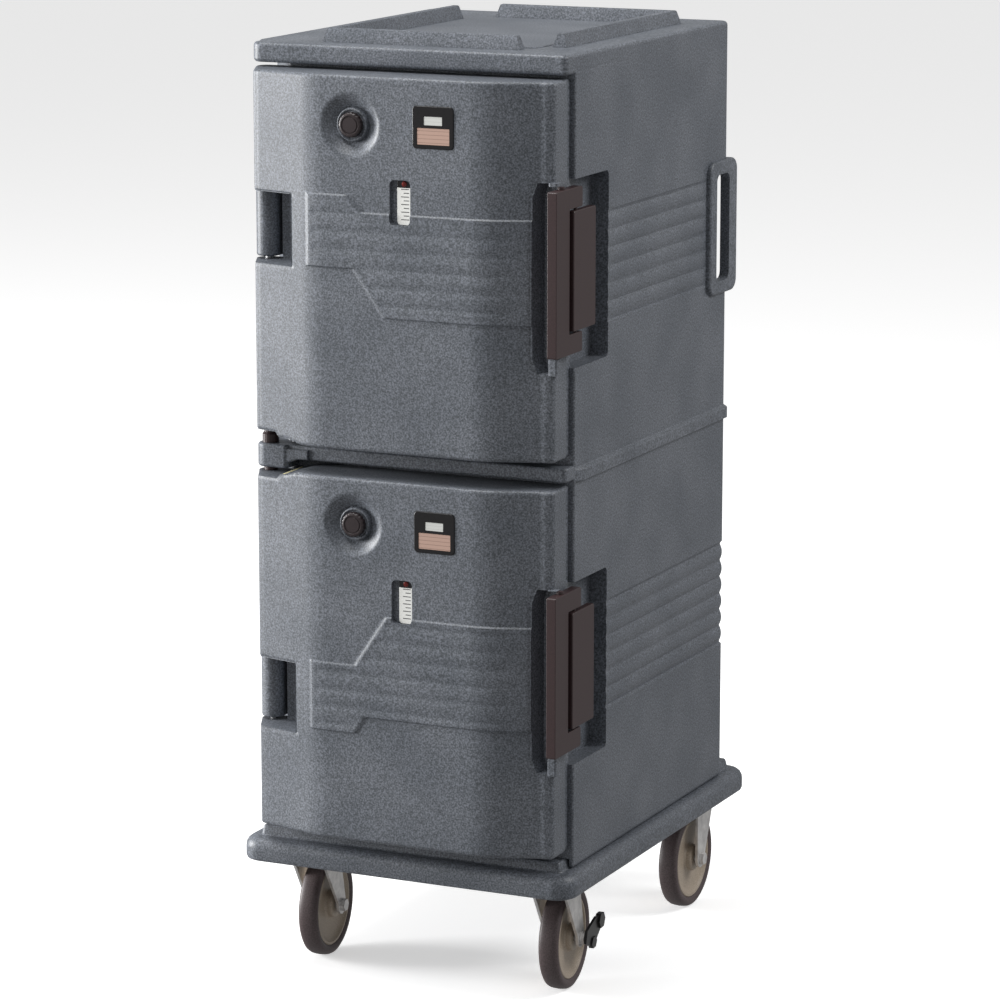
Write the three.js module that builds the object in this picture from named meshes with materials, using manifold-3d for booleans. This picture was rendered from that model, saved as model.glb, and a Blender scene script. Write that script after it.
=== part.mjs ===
// Heated, insulated food carrier on four casters: two stacked compartments, each with its own door.
// Millimetres, +Z up. Origin: middle of the footprint, on the floor. The doors face -Y, latches at +X.

import * as THREE from 'three';
import { mergeVertices } from 'three/addons/utils/BufferGeometryUtils.js';
import Module from 'manifold-3d';

const wasm = await Module();
wasm.setup();

// ---------------------------------------------------------------- driving dimensions
const WIDTH = 521;
const DEPTH = 718;
const HEIGHT = 1371.6;
const GAP = 0.3;                 // clearance between pieces that touch

const SKIRT = { front: -319, bottom: 173, top: 208, corner: 30, wall: 20 };
const PLATE_Z = 187;             // underside of the base that carries the casters
const PLATEAU = { front: -291, rear: 331, halfWidth: 238.7, top: 222 };

const BODY = { halfWidth: 245, front: -269, rear: 290, corner: 13 };
const BODY_BOTTOM = PLATEAU.top + GAP;
const SIDE_BOTTOM = SKIRT.top + GAP;
const CHAMFER = { x: -192, y: -205 };        // hinge-side front corner cut, ends on each face
const SKIN = 6;                  // outer wall of the moulding
const LINER = 5;                 // wall of the compartments
const LIP = { front: -299, bottom: 1324, top: 1352, endRadius: 18 };
const RAIL = { front: -297, bottom: 765, top: 785 };
const BAND = { bottom: 761, top: 780, proud: 5.5 };
const BOSS = { right: -183, bottom: 751, top: 785 };

const CAVITY = { halfWidth: 168, rear: 259, height: 470 };
const RIDGE = { width: 20, taper: 5 };

const HINGE = { x: -219, y: -284, radius: 17 };
const PIN_RADIUS = 5;
const KNUCKLE_HEIGHT = 93;
const NOTCH = { deep: -196, shallow: -151, floor: -286, side: 4 };   // room for the knuckle in the door
const PAN_RAIL = { out: 12, half: 6, first: 48, pitch: 52, count: 8, front: -240 };
const DOOR = { right: 240, back: -274.5, front: -359, wall: 6, edge: 5, leftFace: -214, rightFace: 225 };
const PLUG = { halfWidth: 163, rear: -256, clearance: 5 };
const FLANGE = { left: -172, right: 231, thickness: 5.2 };
const GASKET = { inner: 172, width: 12, front: -274.2, rear: -269.4 };

// Heights that differ between the two doors
const LEVELS = [
  {
    name: 'upper', bottom: 797, top: 1318, cavityBottom: 808, knuckle: 1098.5,
    latch: 1060.5, recess: 1051.5, vent: 1250, meter: 1252.3, gauge: 1147.2,
    band: [[-300, 1153], [-60, 1153], [-35, 1130], [260, 1130], [260, 987], [-2, 987], [-50, 1053],
      [-300, 1053]],
    relief: [[-300, 790], [-138, 790], [-138, 797], [-159, 803.5], [-176, 804], [-183, 811], [-300, 811]],
  },
  {
    name: 'lower', bottom: 235.5, top: 758, cavityBottom: 265, knuckle: 431.7,
    latch: 503, recess: 490, vent: 692.5, meter: 691.8, gauge: 589,
    band: [[-300, 491], [-51, 491], [-1, 565], [260, 565], [260, 419], [-35, 419], [-51, 394],
      [-300, 394]],
    relief: [[-300, 762], [-138, 762], [-138, 758], [-162, 752.5], [-175, 751], [-181, 745], [-300, 745]],
  },
];

const VENT = { x: -53, coneRadius: 42, floorRadius: 25, floor: -345, tube: 9 };
const METER = { left: 42, right: 104.5, height: 58.6, floor: -350 };
const GAUGE = { left: 6.7, right: 38.3, plateLeft: 17, height: 62, floor: -350 };
const LATCH_CUT = { left: 217.5, floor: -309, height: 221, chamfer: 20, run: 6, flare: 8 };
const SIDE_CUT = { floor: 218, rear: -155, height: 261, chamfer: 5 };
const FRAME = { inner: 243, outer: 257, front: -358, window: -314, rear: -271, arm: 28, height: 227 };
const FRAME_SLOT = { front: -334, rear: -318 };
const POST = { left: 234, right: 247.5, front: -335, rear: -319 };
const LEVER = { inner: 249, outer: 259.8, front: -306, rear: -232, height: 165 };
const FRAME_PIVOT = { x: 248.5, y: -327 };
const LEVER_PIVOT = { x: 253.2, y: -287 };
const LATCH_PIN = 2.5;
const LUG = { radius: 4.7, half: 12, offset: 55, rear: -320 };
const FACE_STEP = 2;             // the door's ribbed band stands this much proud

const HANDLE = { front: 209.5, rear: 313, bottom: 952, top: 1150, inner: 236, outer: 250.5 };
const HANDLE_SLOT = { front: 232.5, rear: 281, bottom: 972, top: 1130, depth: 205 };
const RIB = { pitch: 25.1, count: 6, depth: 3 };
const RIBS = [{ bottom: 972, rear: 203 }, { bottom: 418, rear: 320 }];

const WHEEL = { radius: 76, tread: 30, rim: 61, core: 20, axle: 6 };
const FORK = { half: 24, sheet: 4, eye: 14, crownBottom: 158, crownTop: 164 };
const FRONT_CASTER = { x: 192, y: -210, trail: 38, toe: 5 };
const REAR_CASTER = { x: 192, axleY: 275, plateY: 290 };
const RACEWAY_RADIUS = 28;

// ---------------------------------------------------------------- shape helpers
function solid(geometry) {
  geometry.deleteAttribute('normal');
  geometry.deleteAttribute('uv');
  const merged = mergeVertices(geometry, 1e-4);
  return new wasm.Manifold(new wasm.Mesh({
    numProp: 3,
    vertProperties: new Float32Array(merged.attributes.position.array),
    triVerts: new Uint32Array(merged.index.array),
  }));
}

function block(x0, x1, y0, y1, z0, z1) {
  const box = new THREE.BoxGeometry(x1 - x0, y1 - y0, z1 - z0);
  box.translate((x0 + x1) / 2, (y0 + y1) / 2, (z0 + z1) / 2);
  return solid(box);
}

// Extrude a shape between two heights; edge is a rounded edge at both ends
function prism(shape, from, to, edge = 0, steps = 3) {
  return solid(new THREE.ExtrudeGeometry(shape, {
    depth: to - from - 2 * edge,
    bevelEnabled: edge > 0,
    bevelThickness: edge,
    bevelSize: edge,
    bevelOffset: -edge,
    bevelSegments: edge > 4 ? 2 : 1,
    curveSegments: steps,
  }).translate(0, 0, from + edge));
}

// The shape's x and y become Y and Z, extruded along X
function prismAlongX(shape, from, to, edge = 0) {
  return prism(shape, from, to, edge).rotate([90, 0, 90]);
}

// The shape's x and y become X and Z, extruded along Y
function prismAlongY(shape, from, to) {
  return prism(shape, -to, -from).rotate([90, 0, 0]);
}

function polygon(points) {
  return new THREE.Shape(points.map(([x, y]) => new THREE.Vector2(x, y)));
}

function roundedRectangle(x0, x1, y0, y1, r) {
  const shape = new THREE.Shape();
  shape.absarc(x1 - r, y1 - r, r, 0, Math.PI / 2);
  shape.absarc(x0 + r, y1 - r, r, Math.PI / 2, Math.PI);
  shape.absarc(x0 + r, y0 + r, r, Math.PI, Math.PI * 1.5);
  shape.absarc(x1 - r, y0 + r, r, Math.PI * 1.5, Math.PI * 2);
  shape.closePath();
  return shape;
}

function rod(radius, x, y, z0, z1, sides = 20) {
  const cylinder = new THREE.CylinderGeometry(radius, radius, z1 - z0, sides);
  return solid(cylinder.rotateX(Math.PI / 2).translate(x, y, (z0 + z1) / 2));
}

// Turned solid about Z from [radius, height] pairs, then laid along X or Y
function turned(profile, sides = 32) {
  const points = profile.map(([r, h]) => new THREE.Vector2(r, h));
  if (THREE.ShapeUtils.isClockWise(points)) points.reverse();
  return solid(new THREE.LatheGeometry(points, sides).rotateX(Math.PI / 2));
}

function turnedAlongX(profile, sides) {
  return turned(profile, sides).rotate([0, 90, 0]);
}

function turnedAlongY(profile, sides) {
  return turned(profile, sides).rotate([-90, 0, 0]);
}

function rodAlongX(radius, x0, x1, y, z, sides = 20) {
  return rod(radius, 0, 0, x0, x1, sides).rotate([0, 90, 0]).translate([0, y, z]);
}

function rodAlongY(radius, x, y0, y1, z, sides = 20) {
  return rod(radius, 0, 0, y0, y1, sides).rotate([-90, 0, 0]).translate([x, 0, z]);
}

// Box whose top is smaller than its foot
function taperedBlock(x0, x1, y0, y1, z0, z1, taper) {
  const box = new THREE.BoxGeometry(x1 - x0, y1 - y0, z1 - z0);
  const place = box.attributes.position;
  for (let i = 0; i < place.count; i += 1) {
    if (place.getZ(i) > 0) {
      place.setX(i, place.getX(i) - Math.sign(place.getX(i)) * taper);
      place.setY(i, place.getY(i) - Math.sign(place.getY(i)) * taper);
    }
  }
  box.translate((x0 + x1) / 2, (y0 + y1) / 2, (z0 + z1) / 2);
  return solid(box);
}

function union(pieces) {
  return pieces.reduce((sum, piece) => sum.add(piece));
}

function mirroredX(piece) {
  return piece.mirror([1, 0, 0]);
}

// Move every side of an outline inward by a distance
function insetOutline(points, distance) {
  const area = THREE.ShapeUtils.area(points);
  const side = Math.sign(area) * distance;
  return points.map((point, i) => {
    const before = points[(i + points.length - 1) % points.length];
    const after = points[(i + 1) % points.length];
    const a = point.clone().sub(before).normalize();
    const b = after.clone().sub(point).normalize();
    const normal = new THREE.Vector2(-a.y - b.y, a.x + b.x).normalize();
    const stretch = side / normal.dot(new THREE.Vector2(-a.y, a.x));
    return point.clone().addScaledVector(normal, stretch);
  });
}

// ---------------------------------------------------------------- materials
function material(color, roughness, metalness = 0) {
  return new THREE.MeshStandardMaterial({ color, roughness, metalness });
}

const GRANITE = () => material(0x6b7078, 0.6);
const BROWN = () => material(0x42383a, 0.5);
const FOAM = () => material(0xd9cf9a, 0.9);
const ZINC = () => material(0xc8c4c8, 0.35, 0.9);
const BLACK = () => material(0x1c1b1c, 0.5);
const RUBBER = () => material(0x3a3a3c, 0.8);
const TREAD = () => material(0x4b4244, 0.7);
const HUB = () => material(0x968a7c, 0.6);
const STEEL = () => material(0xb0b0b0, 0.3, 0.95);

const cart = new THREE.Group();

function add(name, piece, finish, parent = cart) {
  const raw = piece.getMesh();
  const geometry = new THREE.BufferGeometry();
  geometry.setAttribute('position', new THREE.BufferAttribute(raw.vertProperties.slice(), 3));
  geometry.setIndex(new THREE.BufferAttribute(raw.triVerts.slice(), 1));
  geometry.computeVertexNormals();
  const mesh = new THREE.Mesh(geometry, finish);
  mesh.name = name;
  parent.add(mesh);
}

// ---------------------------------------------------------------- base
function makeBase() {
  const half = WIDTH / 2;
  const rear = DEPTH / 2;
  const skirt = prism(
    roundedRectangle(-half, half, SKIRT.front, rear, SKIRT.corner), SKIRT.bottom, SKIRT.top, 7);
  const plateau = block(
    -PLATEAU.halfWidth, PLATEAU.halfWidth, PLATEAU.front, PLATEAU.rear, SKIRT.top - 5, PLATEAU.top);
  const hollow = block(
    SKIRT.wall - half, half - SKIRT.wall, SKIRT.front + SKIRT.wall, rear - SKIRT.wall,
    SKIRT.bottom - 1, PLATE_Z);
  add('base', skirt.add(plateau).subtract(hollow), GRANITE());
}

// ---------------------------------------------------------------- body moulding
// Plan of the cabinet, moved inward by a distance
function bodyPlan(inset) {
  const right = BODY.halfWidth - inset;
  const front = BODY.front + inset;
  const rear = BODY.rear - inset;
  const r = BODY.corner - inset / 2;
  const shape = new THREE.Shape();
  shape.moveTo(CHAMFER.x + inset / 2, front);
  shape.lineTo(right - 4, front);
  shape.lineTo(right, front + 4);
  shape.absarc(right - r, rear - r, r, 0, Math.PI / 2);
  shape.absarc(r - right, rear - r, r, Math.PI / 2, Math.PI);
  shape.lineTo(-right, CHAMFER.y + inset / 2);
  shape.closePath();
  return shape;
}

// The lid's plan: its hinge-side front corner is round about the hinge line
function lipPlan() {
  const shape = new THREE.Shape();
  shape.moveTo(HINGE.x, HINGE.y - LIP.endRadius);
  shape.lineTo(BODY.halfWidth - 8, LIP.front);
  shape.quadraticCurveTo(BODY.halfWidth, LIP.front, BODY.halfWidth, LIP.front + 8);
  shape.absarc(BODY.halfWidth - BODY.corner, BODY.rear - BODY.corner, BODY.corner, 0, Math.PI / 2);
  shape.absarc(BODY.corner - BODY.halfWidth, BODY.rear - BODY.corner, BODY.corner, Math.PI / 2, Math.PI);
  shape.lineTo(-BODY.halfWidth, -255);
  shape.absarc(HINGE.x, HINGE.y, LIP.endRadius, Math.PI, Math.PI * 1.5);
  shape.closePath();
  return shape;
}

// Raised rails on the roof that keep a load from sliding off
function makeRidges() {
  const w = RIDGE.width;
  const z = LIP.top - 2;
  return union([
    taperedBlock(-144, 156, -260, -260 + w, z, HEIGHT, RIDGE.taper),
    taperedBlock(-144, -144 + w, -260, 155, z, HEIGHT, RIDGE.taper),
    taperedBlock(-88, 200, 210 - w, 210, z, HEIGHT, RIDGE.taper),
    taperedBlock(200 - w, 200, -200, 210, z, HEIGHT, RIDGE.taper),
  ]);
}

// Latch pocket in the latch side; grow adds the wall thickness for the foam space
function sideCut(level, grow) {
  const z = level.recess;
  const h = SIDE_CUT.height / 2 + grow;
  const front = BODY.front - 30;
  const rear = SIDE_CUT.rear + grow;
  const outline = polygon([
    [front, z - h], [rear - SIDE_CUT.chamfer, z - h], [rear, z - h + SIDE_CUT.chamfer],
    [rear, z + h - SIDE_CUT.chamfer], [rear - SIDE_CUT.chamfer, z + h], [front, z + h]]);
  return prismAlongX(outline, SIDE_CUT.floor - grow, BODY.halfWidth + 20);
}

// Finger space behind a handle, on the +X side, out to a given distance
function fingerCut(grow, outer) {
  return block(
    HANDLE_SLOT.depth - grow, outer, HANDLE_SLOT.front - grow, BODY.rear + 20,
    HANDLE_SLOT.bottom - 6 - grow, HANDLE_SLOT.top + 6 + grow);
}

function makeHandle() {
  const outer = roundedRectangle(HANDLE.front, HANDLE.rear, HANDLE.bottom, HANDLE.top, 16);
  const slot = roundedRectangle(
    HANDLE_SLOT.front, HANDLE_SLOT.rear, HANDLE_SLOT.bottom, HANDLE_SLOT.top, 9);
  return {
    bar: prismAlongX(outer, HANDLE.inner - 6, HANDLE.outer, 2),
    slot: prismAlongX(slot, HANDLE.inner - 40, HANDLE.outer + 10),
  };
}

function cavity(level, grow) {
  const w = CAVITY.halfWidth + grow;
  return block(
    -w, w, BODY.front - 30, CAVITY.rear + grow,
    level.cavityBottom - grow, level.cavityBottom + CAVITY.height + grow);
}

// Ledges along both side walls that carry food pans
function panRails(level) {
  const w = CAVITY.halfWidth;
  const rails = [];
  for (let i = 0; i < PAN_RAIL.count; i += 1) {
    const z = level.cavityBottom + PAN_RAIL.first + i * PAN_RAIL.pitch;
    const rail = block(
      w - PAN_RAIL.out, w + 1, PAN_RAIL.front, CAVITY.rear + 1, z - PAN_RAIL.half, z + PAN_RAIL.half);
    rails.push(rail, mirroredX(rail));
  }
  return union(rails);
}

// The insulated space between outer skin and compartment walls, open at the bottom
function foamSpace(gap) {
  const walls = SKIN + gap;
  let space = prism(bodyPlan(walls), BODY_BOTTOM - 20, LIP.top - walls);
  for (const level of LEVELS) {
    space = space.subtract(cavity(level, LINER + gap));
    space = space.subtract(sideCut(level, LINER + gap));
  }
  const fingers = fingerCut(LINER + gap, BODY.halfWidth + 1);
  return space.subtract(fingers).subtract(mirroredX(fingers));
}

// Moulded lug that carries the hinge pin, with its web back to the chamfer
function knuckle(z) {
  const z0 = z - KNUCKLE_HEIGHT / 2;
  const z1 = z + KNUCKLE_HEIGHT / 2;
  const r = HINGE.radius;
  return rod(r, HINGE.x, HINGE.y, z0, z1, 24)
    .add(block(HINGE.x - r, HINGE.x + r, HINGE.y, -215, z0, z1));
}

function makeMidRail() {
  const rail = block(BOSS.right, BODY.halfWidth, RAIL.front, BODY.front + 4, RAIL.bottom, RAIL.top);
  const boss = roundedRectangle(
    HINGE.x - LIP.endRadius, BOSS.right, HINGE.y - LIP.endRadius, BODY.front + 40, LIP.endRadius);
  return rail.add(prism(boss, BOSS.bottom, BOSS.top, 3));
}

// Raised band round the sides and the back, level with the middle rail
function makeBand() {
  const w = BODY.halfWidth + BAND.proud;
  const ring = roundedRectangle(-w, w, BODY.front + 6, BODY.rear + BAND.proud, BODY.corner + 3);
  const inner = block(-300, CHAMFER.x, -300, CHAMFER.y - 4, BAND.bottom - 5, BAND.top + 5);
  return prism(ring, BAND.bottom, BAND.top, 3).subtract(inner);
}

// Shallow grooves between the side ribs
function sideGrooves() {
  const grooves = [];
  for (const rib of RIBS) {
    for (let i = 0; i <= RIB.count; i += 1) {
      const z = rib.bottom + i * RIB.pitch;
      const w = BODY.halfWidth;
      const section = polygon([
        [w - RIB.depth, z], [w + 1, z + 5], [w + 1, z - 5]]);
      grooves.push(prismAlongY(section, -150, rib.rear));
    }
  }
  return union(grooves);
}

function makeBody() {
  const handle = makeHandle();
  let body = prism(bodyPlan(0), BODY_BOTTOM, LIP.bottom + 6);
  const skirt = block(
    BODY.halfWidth - SKIN, BODY.halfWidth, BODY.front + SKIN, BODY.rear - BODY.corner, SIDE_BOTTOM,
    BODY_BOTTOM + 10);
  const grooves = sideGrooves();
  body = body.subtract(grooves).subtract(mirroredX(grooves));
  body = union([
    body, skirt, mirroredX(skirt), prism(lipPlan(), LIP.bottom, LIP.top, 5), makeRidges(),
    makeMidRail(), makeBand(), handle.bar, mirroredX(handle.bar)]);
  for (const level of LEVELS) {
    body = body.add(knuckle(level.knuckle));
  }
  body = body.subtract(foamSpace(0));
  const fingers = fingerCut(0, HANDLE.inner);
  for (const level of LEVELS) {
    body = body.subtract(cavity(level, 0).subtract(panRails(level))).subtract(sideCut(level, 0));
  }
  for (const cut of [fingers, handle.slot]) {
    body = body.subtract(cut).subtract(mirroredX(cut));
  }
  const bore = rod(PIN_RADIUS + GAP, HINGE.x, HINGE.y, 300, 1200, 16);
  body = body.subtract(bore);
  for (const level of LEVELS) {
    const keeper = block(
      SIDE_CUT.floor - 2, SIDE_CUT.floor + 18, BODY.front, BODY.front + 8,
      level.latch - 70, level.latch + 70);
    body = body.add(keeper);
  }
  add('body_shell', body, GRANITE());
  add('body_foam_core', foamSpace(GAP).intersect(block(-300, 300, -300, 300, BODY_BOTTOM, HEIGHT)), FOAM());
}

// ---------------------------------------------------------------- doors
function doorPlan() {
  const { x, y, radius } = HINGE;
  const shape = new THREE.Shape();
  shape.moveTo(DOOR.right, DOOR.back);
  shape.lineTo(DOOR.right, -317);
  shape.quadraticCurveTo(DOOR.right, -326, 231, -329.2);
  shape.lineTo(168, -351.5);
  shape.quadraticCurveTo(147, DOOR.front, 125, DOOR.front);
  shape.lineTo(-95, DOOR.front);
  shape.quadraticCurveTo(-114, DOOR.front, -132, -354.4);
  shape.lineTo(-202, -336.5);
  shape.quadraticCurveTo(-217, -333, -222.3, -318);
  shape.absarc(x, y, radius, Math.PI * 1.144, Math.PI * 0.189, true);
  const points = shape.getPoints(3);
  return points.filter((p, i) => p.distanceTo(points[(i + 1) % points.length]) > 0.01);
}

// Pocket in the door's front free corner that takes the latch
function doorLatchCut(level, grow) {
  const z = level.recess;
  const h = LATCH_CUT.height / 2 + grow;
  const c = LATCH_CUT.chamfer;
  const left = LATCH_CUT.left - grow;
  const right = DOOR.right - 6;
  const bend = left + LATCH_CUT.run;
  const deep = polygon([
    [left, z - h], [bend, z - h - c], [right, z - h - c], [right, z + h + c], [bend, z + h + c],
    [left, z + h]]);
  const slope = polygon([
    [left - LATCH_CUT.flare, DOOR.front], [left + 1, DOOR.front], [left + 1, LATCH_CUT.floor + grow],
    [left, LATCH_CUT.floor + grow]]);
  const edge = block(
    DOOR.right - 7, DOOR.right + 5, DOOR.front, -323, z - h - c, z + h + c);
  return union([prismAlongY(deep, DOOR.front, LATCH_CUT.floor + grow), prism(slope, z - h, z + h), edge]);
}

// Blocks above and below the latch that its pin would bear in
function latchPosts(level) {
  const end = LATCH_CUT.height / 2 + LATCH_CUT.chamfer + 1;
  const pinEnd = FRAME.height / 2 + 4 + GAP;
  return [[level.latch + pinEnd, level.recess + end], [level.recess - end, level.latch - pinEnd]]
    .map(([z0, z1]) => block(POST.left, POST.right, POST.front, POST.rear, z0, z1));
}

function meterCut(level, grow) {
  const h = METER.height / 2 + grow;
  return block(
    METER.left - grow, METER.right + grow, DOOR.front - 1, METER.floor + grow,
    level.meter - h, level.meter + h);
}

function gaugeCut(level, grow) {
  const h = GAUGE.height / 2 + grow;
  return block(
    GAUGE.left - grow, GAUGE.right + grow, DOOR.front - 1, GAUGE.floor + grow,
    level.gauge - h, level.gauge + h);
}

function ventCut(level, grow) {
  const cone = turnedAlongY([
    [0, VENT.floor + grow], [VENT.floorRadius + grow, VENT.floor + grow],
    [VENT.coneRadius + grow, DOOR.front - 0.5], [0, DOOR.front - 0.5]], 28);
  return cone.translate([VENT.x, 0, level.vent]);
}

// Space for the body's hinge knuckle, deep beside the pin and shallow further in
function knuckleNotch(level, grow) {
  const h = KNUCKLE_HEIGHT / 2 + NOTCH.side + grow;
  const deep = block(-260, NOTCH.deep + grow, -400, -250, level.knuckle - h, level.knuckle + h);
  return deep.add(block(
    -260, NOTCH.shallow + grow, -400, NOTCH.floor + grow, level.knuckle - h, level.knuckle + h));
}

// Foam space of a door: open at the back, where the inner pan closes it
function doorSpace(level, gap) {
  const walls = DOOR.wall + gap;
  const plan = new THREE.Shape(insetOutline(doorPlan(), walls));
  let space = prism(plan, level.bottom + walls, level.top - walls);
  space = space.intersect(block(FLANGE.left, 300, -400, -200, 0, HEIGHT));
  for (const cut of [doorLatchCut, meterCut, gaugeCut, ventCut, knuckleNotch]) {
    space = space.subtract(cut(level, DOOR.wall - 1 + gap));
  }
  return space;
}

// Opening in the back of the door shell that the inner pan drops into
function flangeBox(level, gap) {
  return block(
    FLANGE.left - gap, FLANGE.right + gap, DOOR.back - FLANGE.thickness - gap, DOOR.back + 1,
    level.bottom + 10 - gap, level.top - 10 + gap);
}

function hingeBores(level) {
  const r = PIN_RADIUS + GAP;
  const z = level.knuckle;
  const half = KNUCKLE_HEIGHT / 2;
  const upperDoor = level.name === 'upper';
  const bushEnd = upperDoor ? level.bottom - 1 : level.top + 1;
  const bushTip = upperDoor ? level.bottom + 55 : level.top - 55;
  return union([
    rod(r, HINGE.x, HINGE.y, z - half - 45, z + half + 45, 16),
    rod(r, HINGE.x, HINGE.y, Math.min(bushEnd, bushTip), Math.max(bushEnd, bushTip), 16),
  ]);
}

// Thin layer taken off the front all round the ribbed band, which stands proud
function frontRelief(level) {
  const inner = new THREE.Shape(insetOutline(doorPlan(), FACE_STEP));
  const core = prism(inner, level.bottom - 5, level.top + 5);
  const sides = block(
    DOOR.leftFace, DOOR.rightFace, DOOR.front - 5, HINGE.y - HINGE.radius, level.bottom - 1, level.top + 1);
  const band = prismAlongY(polygon(level.band), DOOR.front - 10, 0);
  return sides.subtract(core).subtract(band);
}

// Lug for the latch pin: round at the pin, cut back in front so that the latch can swing
function latchLug(z) {
  const { x, y } = FRAME_PIVOT;
  const foot = polygon([
    [DOOR.right - 4, LUG.rear], [DOOR.right - 4, y + 5], [DOOR.right, y + 2], [x - 4, y - 2.4],
    [x, y], [x, LUG.rear]]);
  const eye = rod(LUG.radius, x, y, z - LUG.half, z + LUG.half, 20);
  return prism(foot, z - LUG.half, z + LUG.half).add(eye);
}

function makeDoorShell(level) {
  const plan = new THREE.Shape(doorPlan());
  let shell = prism(plan, level.bottom, level.top, DOOR.edge);
  shell = shell.subtract(frontRelief(level));
  shell = shell.subtract(doorSpace(level, 0)).subtract(flangeBox(level, GAP));
  shell = shell.subtract(prismAlongY(polygon(level.relief), -400, -250));
  for (const cut of [doorLatchCut, meterCut, gaugeCut, ventCut, knuckleNotch]) {
    shell = shell.subtract(cut(level, 0));
  }
  for (const z of [level.latch - LUG.offset, level.latch + LUG.offset]) {
    shell = shell.add(latchLug(z));
  }
  shell = union([shell, ...latchPosts(level)]);
  const latchBore = rod(
    LATCH_PIN + GAP, FRAME_PIVOT.x, FRAME_PIVOT.y, level.latch - 90, level.latch + 90, 12);
  shell = shell.subtract(hingeBores(level)).subtract(latchBore).subtract(ventTube(level, GAP));
  add(`${level.name}_door_shell`, shell, GRANITE());
}

function ventTube(level, gap) {
  return rodAlongY(VENT.tube + gap, VENT.x, VENT.floor - 2, PLUG.rear + 3, level.vent, 16);
}

function makeDoorLiner(level) {
  const low = level.cavityBottom + PLUG.clearance;
  const high = level.cavityBottom + CAVITY.height - PLUG.clearance;
  const middle = (low + high) / 2 - 30;
  const plug = block(-PLUG.halfWidth, PLUG.halfWidth, DOOR.back - 2, PLUG.rear, low, high);
  const pocket = block(-108, 108, -276, PLUG.rear + 1, middle - 130, middle + 130);
  let liner = flangeBox(level, 0).intersect(block(-300, 300, -400, DOOR.back - GAP, 0, HEIGHT));
  liner = liner.add(plug).subtract(pocket).subtract(ventTube(level, GAP));
  add(`${level.name}_door_liner`, liner, GRANITE());

  const foam = doorSpace(level, GAP)
    .subtract(flangeBox(level, GAP))
    .intersect(block(-300, 300, -400, DOOR.back - FLANGE.thickness, 0, HEIGHT))
    .subtract(ventTube(level, GAP));
  add(`${level.name}_door_foam_core`, foam, FOAM());

  const cover = block(-107.6, 107.6, -258.5, PLUG.rear, middle - 129.6, middle + 129.6);
  const slots = [];
  for (let i = -4; i <= 4; i += 1) {
    slots.push(block(-85, 85, -262, PLUG.rear + 2, middle + i * 24 - 4, middle + i * 24 + 4));
  }
  add(`${level.name}_heater_cover`, cover.subtract(union(slots)), STEEL());
  makeHeaterElement(level, middle);
}

// Serpentine heating element behind the slotted cover
function makeHeaterElement(level, middle) {
  const path = new THREE.CurvePath();
  const runs = 4;
  const y = -267;
  const step = 50;
  const bend = step / 2;
  let z = middle - step * (runs - 1) / 2;
  let side = -1;
  for (let i = 0; i < runs; i += 1) {
    const from = new THREE.Vector3(side * 70, y, z);
    const to = new THREE.Vector3(-side * 70, y, z);
    path.add(new THREE.LineCurve3(from, to));
    if (i < runs - 1) {
      const out = -side * (70 + bend * 1.3);
      path.add(new THREE.CubicBezierCurve3(
        to, new THREE.Vector3(out, y, z), new THREE.Vector3(out, y, z + step),
        new THREE.Vector3(-side * 70, y, z + step)));
    }
    z += step;
    side = -side;
  }
  const section = new THREE.Shape();
  section.absarc(0, 0, 4, 0, Math.PI * 2);
  const tube = new THREE.ExtrudeGeometry(section, { steps: 40, curveSegments: 3, extrudePath: path });
  add(`${level.name}_heater_element`, solid(tube), BLACK());
}

function makeGasket(level) {
  const low = level.cavityBottom - 4;
  const high = level.cavityBottom + CAVITY.height + 4;
  const x = GASKET.inner;
  const w = GASKET.width;
  const ring = block(-x - w, x + w, GASKET.front, GASKET.rear, low - w, high + w)
    .subtract(block(-x, x, GASKET.front - 1, GASKET.rear + 1, low, high));
  add(`${level.name}_door_gasket`, ring, RUBBER());
}

function makeVent(level) {
  const at = [VENT.x, 0, level.vent];
  const seat = turnedAlongY([
    [6.5, PLUG.rear], [VENT.tube, PLUG.rear], [VENT.tube, VENT.floor - GAP], [21, VENT.floor - GAP],
    [21, VENT.floor - 5], [6.5, VENT.floor - 5], [6.5, PLUG.rear]], 24);
  add(`${level.name}_vent_seat`, seat.translate(at), BROWN());
  const capBack = VENT.floor - 5 - GAP;
  const cap = turnedAlongY([
    [0, capBack + 8], [5.5, capBack + 8], [5.5, capBack], [17.5, capBack], [17.5, DOOR.front + 1.5],
    [15.5, DOOR.front + 0.3], [0, DOOR.front + 0.3]], 24);
  add(`${level.name}_vent_cap`, cap.translate(at), BROWN());
}

function makeThermometer(level) {
  const z = level.meter;
  const h = METER.height / 2 - GAP;
  const face = DOOR.front + 0.6;
  const lcd = (gap) => block(59.7 - gap, 87 + gap, face + 0.4, face + 3 + gap, z + 3 - gap, z + 15 + gap);
  const cell = (gap) => block(
    49.3 - gap, 98 + gap, face + 0.4, face + 3 + gap, z - 23.5 - gap, z - 0.8 + gap);
  const outline = roundedRectangle(METER.left + GAP, METER.right - GAP, z - h, z + h, 6);
  let box = prismAlongY(outline, face, METER.floor - GAP);
  const lcdCut = lcd(GAP).add(
    block(59.7 - GAP, 87 + GAP, face - 1, face + 1, z + 3 - GAP, z + 15 + GAP));
  const cellCut = cell(GAP).add(
    block(49.3 - GAP, 98 + GAP, face - 1, face + 1, z - 23.5 - GAP, z - 0.8 + GAP));
  box = box.subtract(lcdCut).subtract(cellCut);
  add(`${level.name}_thermometer_case`, box, BLACK());
  add(`${level.name}_thermometer_display`, lcd(0), material(0xd8d8d0, 0.3));
  add(`${level.name}_solar_cell`, cell(0), material(0xa88878, 0.3));
}

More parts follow.
